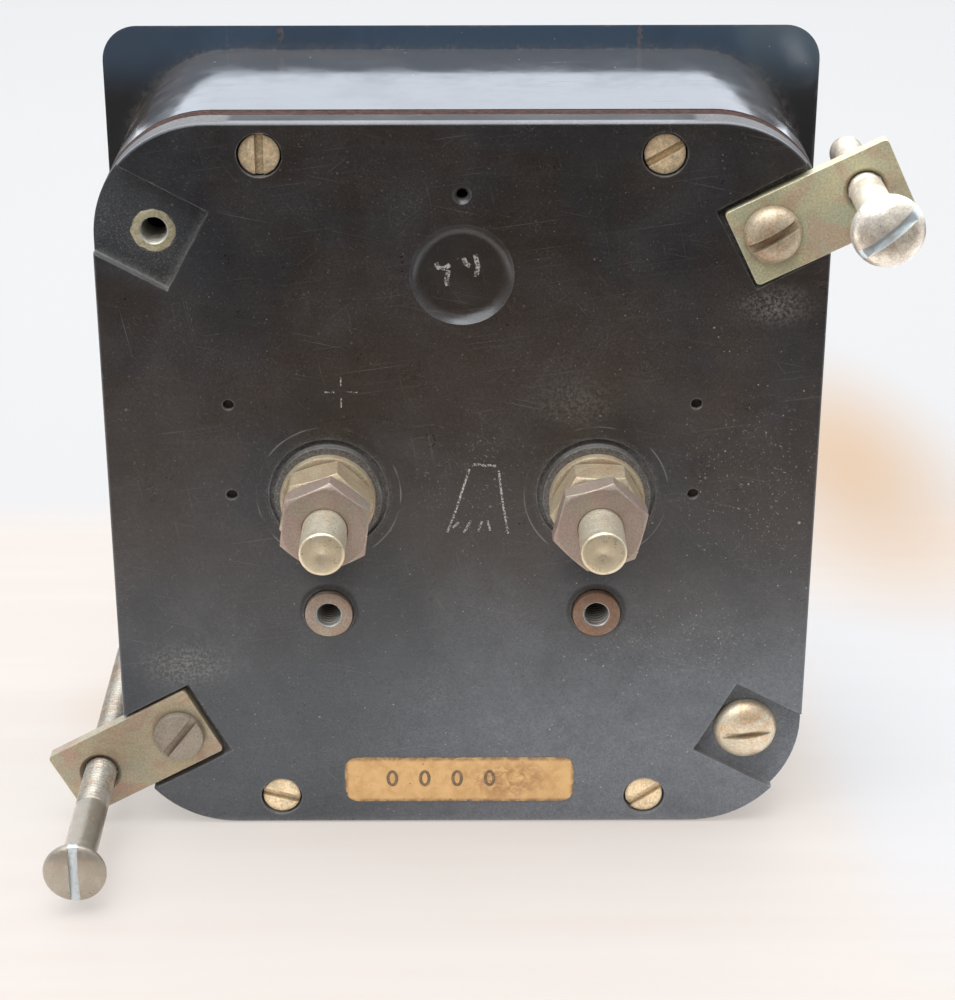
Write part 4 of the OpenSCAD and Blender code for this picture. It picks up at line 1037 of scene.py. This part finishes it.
bm = bmesh.new()
for radius, width in ((ARC_R, 0.3), (ARC_R + 1.0, 0.12)):
    sweep = [(radius * math.sin(math.radians(t)), radius * math.cos(math.radians(t)))
             for t in range(-36, 37)]
    ribbon(bm, sweep, width, *INK, polar(0))
for step in range(-STEPS, STEPS + 1):
    at = polar(step * STEP_DEG)
    if step % LONG_EVERY == 0:
        ribbon(bm, [(0, ARC_R), (0, ARC_R + 4.2)], 0.34, *INK, at)
        write(bm, str(abs(step) // LONG_EVERY * 10), 1, 2.2, 0.36, *INK,
              lambda u, v: at(u, v + ARC_R + 6.6))
    else:
        ribbon(bm, [(0, ARC_R), (0, ARC_R + 2.4)], 0.17, *INK, at)
dial_ink = paint("dial_ink", (0.012, 0.012, 0.014), (0.03, 0.028, 0.026), 0.5, 3)
piece("scale_printing", bm, "scale_plate", dial_ink, "scale_paint", stands_for=False)

# ---- the rest of the CAD nodes

# Parts that only get eased edges, by how much in mm
SOFT = {node: width for width, nodes in (
    (0.05, "scale_screws bridge_screws"), (0.06, "zero_adjuster window_screws coil_former"),
    (0.08, "magnet_screws"), (0.1, "terminal_lugs"), (0.12, "window_retainer zero_adjust_screw"),
    (0.15, "scale_plate front_bridge rear_bridge window_glass"), (0.2, "pole_pieces"),
    (0.25, "core movement_base"), (0.4, "magnet")) for node in nodes.split()}
DARK_ENDS = metal("tarnished_brass", (0.05, 0.04, 0.03), (0.03, 0.024, 0.02), (0.02, 0.016, 0.012), 0.5,
                  metallic=0.4)
LOOKS = {"frame_screws": DARK_ENDS, "pointer": MATERIALS["black_paint"]}
for name, node in frame["nodes"].items():
    if name in DONE:
        continue
    if name in SOFT:
        refined(name, SOFT[name])
        continue
    node.data.materials.clear()
    node.data.materials.append(LOOKS.get(name, MATERIALS[SLOT_OF[name]]))

# ---- floor, light and camera

FLOOR_SIZE = 6.0  # half its width, in metres
FLOOR_SEEN = 0.47  # how light the table looks to the camera
FLOOR_LIT = 0.45  # the share of that which shadows can take away
FLOOR_GLOW = 0.5  # what it shows in full shadow
FLOOR_PLAIN = 0.86  # its lightness to every other ray


def pale_table():
    """A pale table, warm in places, with painted shadows, a painted warm glow and painted light round the
    instrument. Only the camera sees its glow.
    """
    s = Shader("pale_table")
    seen = s.add("ShaderNodeLightPath").outputs["Is Camera Ray"]
    streak = s.noise(1, 3, 0.6, at=s.vec("MULTIPLY", s.p, (0.006, 0.07, 0.07)))
    near = s.mix(s.remap(streak, 0.35, 0.7), (0.955, 0.875, 0.82), (0.98, 0.92, 0.87))
    # A bluish-grey painted shadow beside the instrument, towards -X
    painted_cool_shadow = s.mul(s.remap(s.x, -52, -66), s.remap(s.y, -70, -30), s.remap(s.y, 110, 40))
    near = s.mix(s.mul(painted_cool_shadow, 0.7), near, (0.91, 0.94, 0.99))
    color = s.mix(s.remap(s.y, -86, -116), near, (0.88, 0.885, 0.895))
    # A painted warm shadow beyond the instrument towards -X, and a painted warm glow beside it towards +X
    color = s.mix(s.blob(-86, -135, 34, 120, 0, "xy"), color, (0.84, 0.62, 0.44))
    color = s.over(color, s.blob(58, -2, 14, 30, 0, "xy"), 0.3, (0.9, 0.74, 0.6))
    distance = s.math("MULTIPLY_ADD", s.y, -1 / 780, -120 / 780, clamp=True)
    # Painted light round the instrument, seen only by the camera, thins its shadows on the table
    painted_fill_light = s.plus(s.mul(s.blob(0, 40, 170, 130, 0, "xy"), 0.065),
                  s.mul(s.blob(-85, 0, 75, 90, 0, "xy"), 0.04))
    level = s.plus(FLOOR_SEEN, s.mul(distance, 0.19), painted_fill_light)
    shade = s.plus(FLOOR_PLAIN, s.mul(s.minus(s.mul(level, FLOOR_LIT), FLOOR_PLAIN), seen))
    # Dark where the case would mirror it, so that the black stays black
    edge = s.mul(s.minus(1, seen), s.most(s.remap(s.y, 95, 165), s.remap(s.y, -60, -110)))
    lit_color = s.mix(edge, s.vec("SCALE", color, shade), (0.05, 0.036, 0.026))
    return s.finish(lit_color, 0.6, Specular_IOR_Level=0.1, Emission_Color=color,
                    Emission_Strength=s.mul(seen, FLOOR_GLOW))


def stage_floor():
    """Lays the floor under the flange and the back plate, which the instrument stands on."""
    heel = Vector((0, 0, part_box("case_shell")[0].z))
    toe = Vector((0, FACE_Y * MM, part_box("back_plate")[0].z))
    along = (toe - heel).normalized()
    up = Vector((1, 0, 0)).cross(along)
    corners = [heel + Vector((a * FLOOR_SIZE, 0, 0)) + along * b * FLOOR_SIZE - up * 0.0002
               for a, b in ((-1, -1), (1, -1), (1, 1), (-1, 1))]
    mesh = bpy.data.meshes.new("floor")
    mesh.from_pydata(corners, [], [(0, 1, 2, 3)])
    mesh.materials.append(pale_table())
    new_object("floor", mesh)


stage_floor()

scene = bpy.context.scene
scene.view_settings.view_transform = "Standard"
scene.world = bpy.data.worlds.new("studio")
scene.world.use_nodes = True
studio = Nodes(scene.world.node_tree)
toward = studio.add("ShaderNodeSeparateXYZ", {0: studio.add("ShaderNodeTexCoord").outputs["Generated"]})


def sky(stops):
    """A gradient from behind the camera (+Y) to the far side (-Y): (position, colour) stops."""
    rise = studio.add("ShaderNodeMapRange", {"Value": toward.outputs["Y"], "From Min": 1, "From Max": -1})
    ramp = studio.add("ShaderNodeValToRGB", {0: rise.outputs[0]})
    points = ramp.color_ramp.elements
    while len(points) < len(stops):
        points.new(0.5)
    for point, (where, color) in zip(points, stops):
        point.position = where
        point.color = (*color, 1)
    return ramp.outputs[0]


BACKDROP = (0.84, 0.85, 0.87)  # what the camera sees beyond the floor
lit = sky([(0.05, (0.2, 0.17, 0.15)), (0.7, (1.15, 1.17, 1.2))])
mirrored = sky([(0.04, (0.12, 0.1, 0.09)), (0.5, (0.8, 0.82, 0.86)), (0.93, (1.65, 1.75, 1.9))])
path = studio.add("ShaderNodeLightPath")
around = studio.mix(path.outputs["Is Glossy Ray"], lit, mirrored)
around = studio.mix(path.outputs["Is Camera Ray"], around, BACKDROP)
background = studio.add("ShaderNodeBackground", {0: around})
studio.add("ShaderNodeOutputWorld", {0: background.outputs[0]})


def soft_light(name, where, aim, size=0.9, power=9.9):
    data = bpy.data.lights.new(name, "AREA")
    data.size = size
    data.energy = power
    lamp = new_object(name, data)
    lamp.location = where
    lamp.rotation_mode = "QUATERNION"
    lamp.rotation_quaternion = (Vector(aim) - Vector(where)).to_track_quat("-Z", "Y")


soft_light("key", (0.3, 0.4, 0.8), (0, 0.03, -0.02))
soft_light("top", (-0.1, -0.1, 0.9), (0, 0, 0))

# The camera stands, looks and rolls as the photograph's did, with its lens and shift.
CAMERA_AT = Vector((0.823, 369.42, 140.26)) * MM
CAMERA_VIEW = Vector((-0.00184, -0.90934, -0.41604))
CAMERA_ROLL = Matrix.Rotation(math.radians(-0.081), 3, "Z").to_quaternion()
camera_data = bpy.data.cameras.new("camera")
camera_data.sensor_width = 36
camera_data.lens = 89.02
camera_data.shift_x = 0.0161
camera_data.shift_y = 0.0516
camera_data.clip_start = 0.01
camera_data.clip_end = 50
camera = new_object("camera", camera_data)
camera.location = CAMERA_AT
camera.rotation_mode = "QUATERNION"
camera.rotation_quaternion = CAMERA_VIEW.normalized().to_track_quat("-Z", "Y") @ CAMERA_ROLL
scene.camera = camera
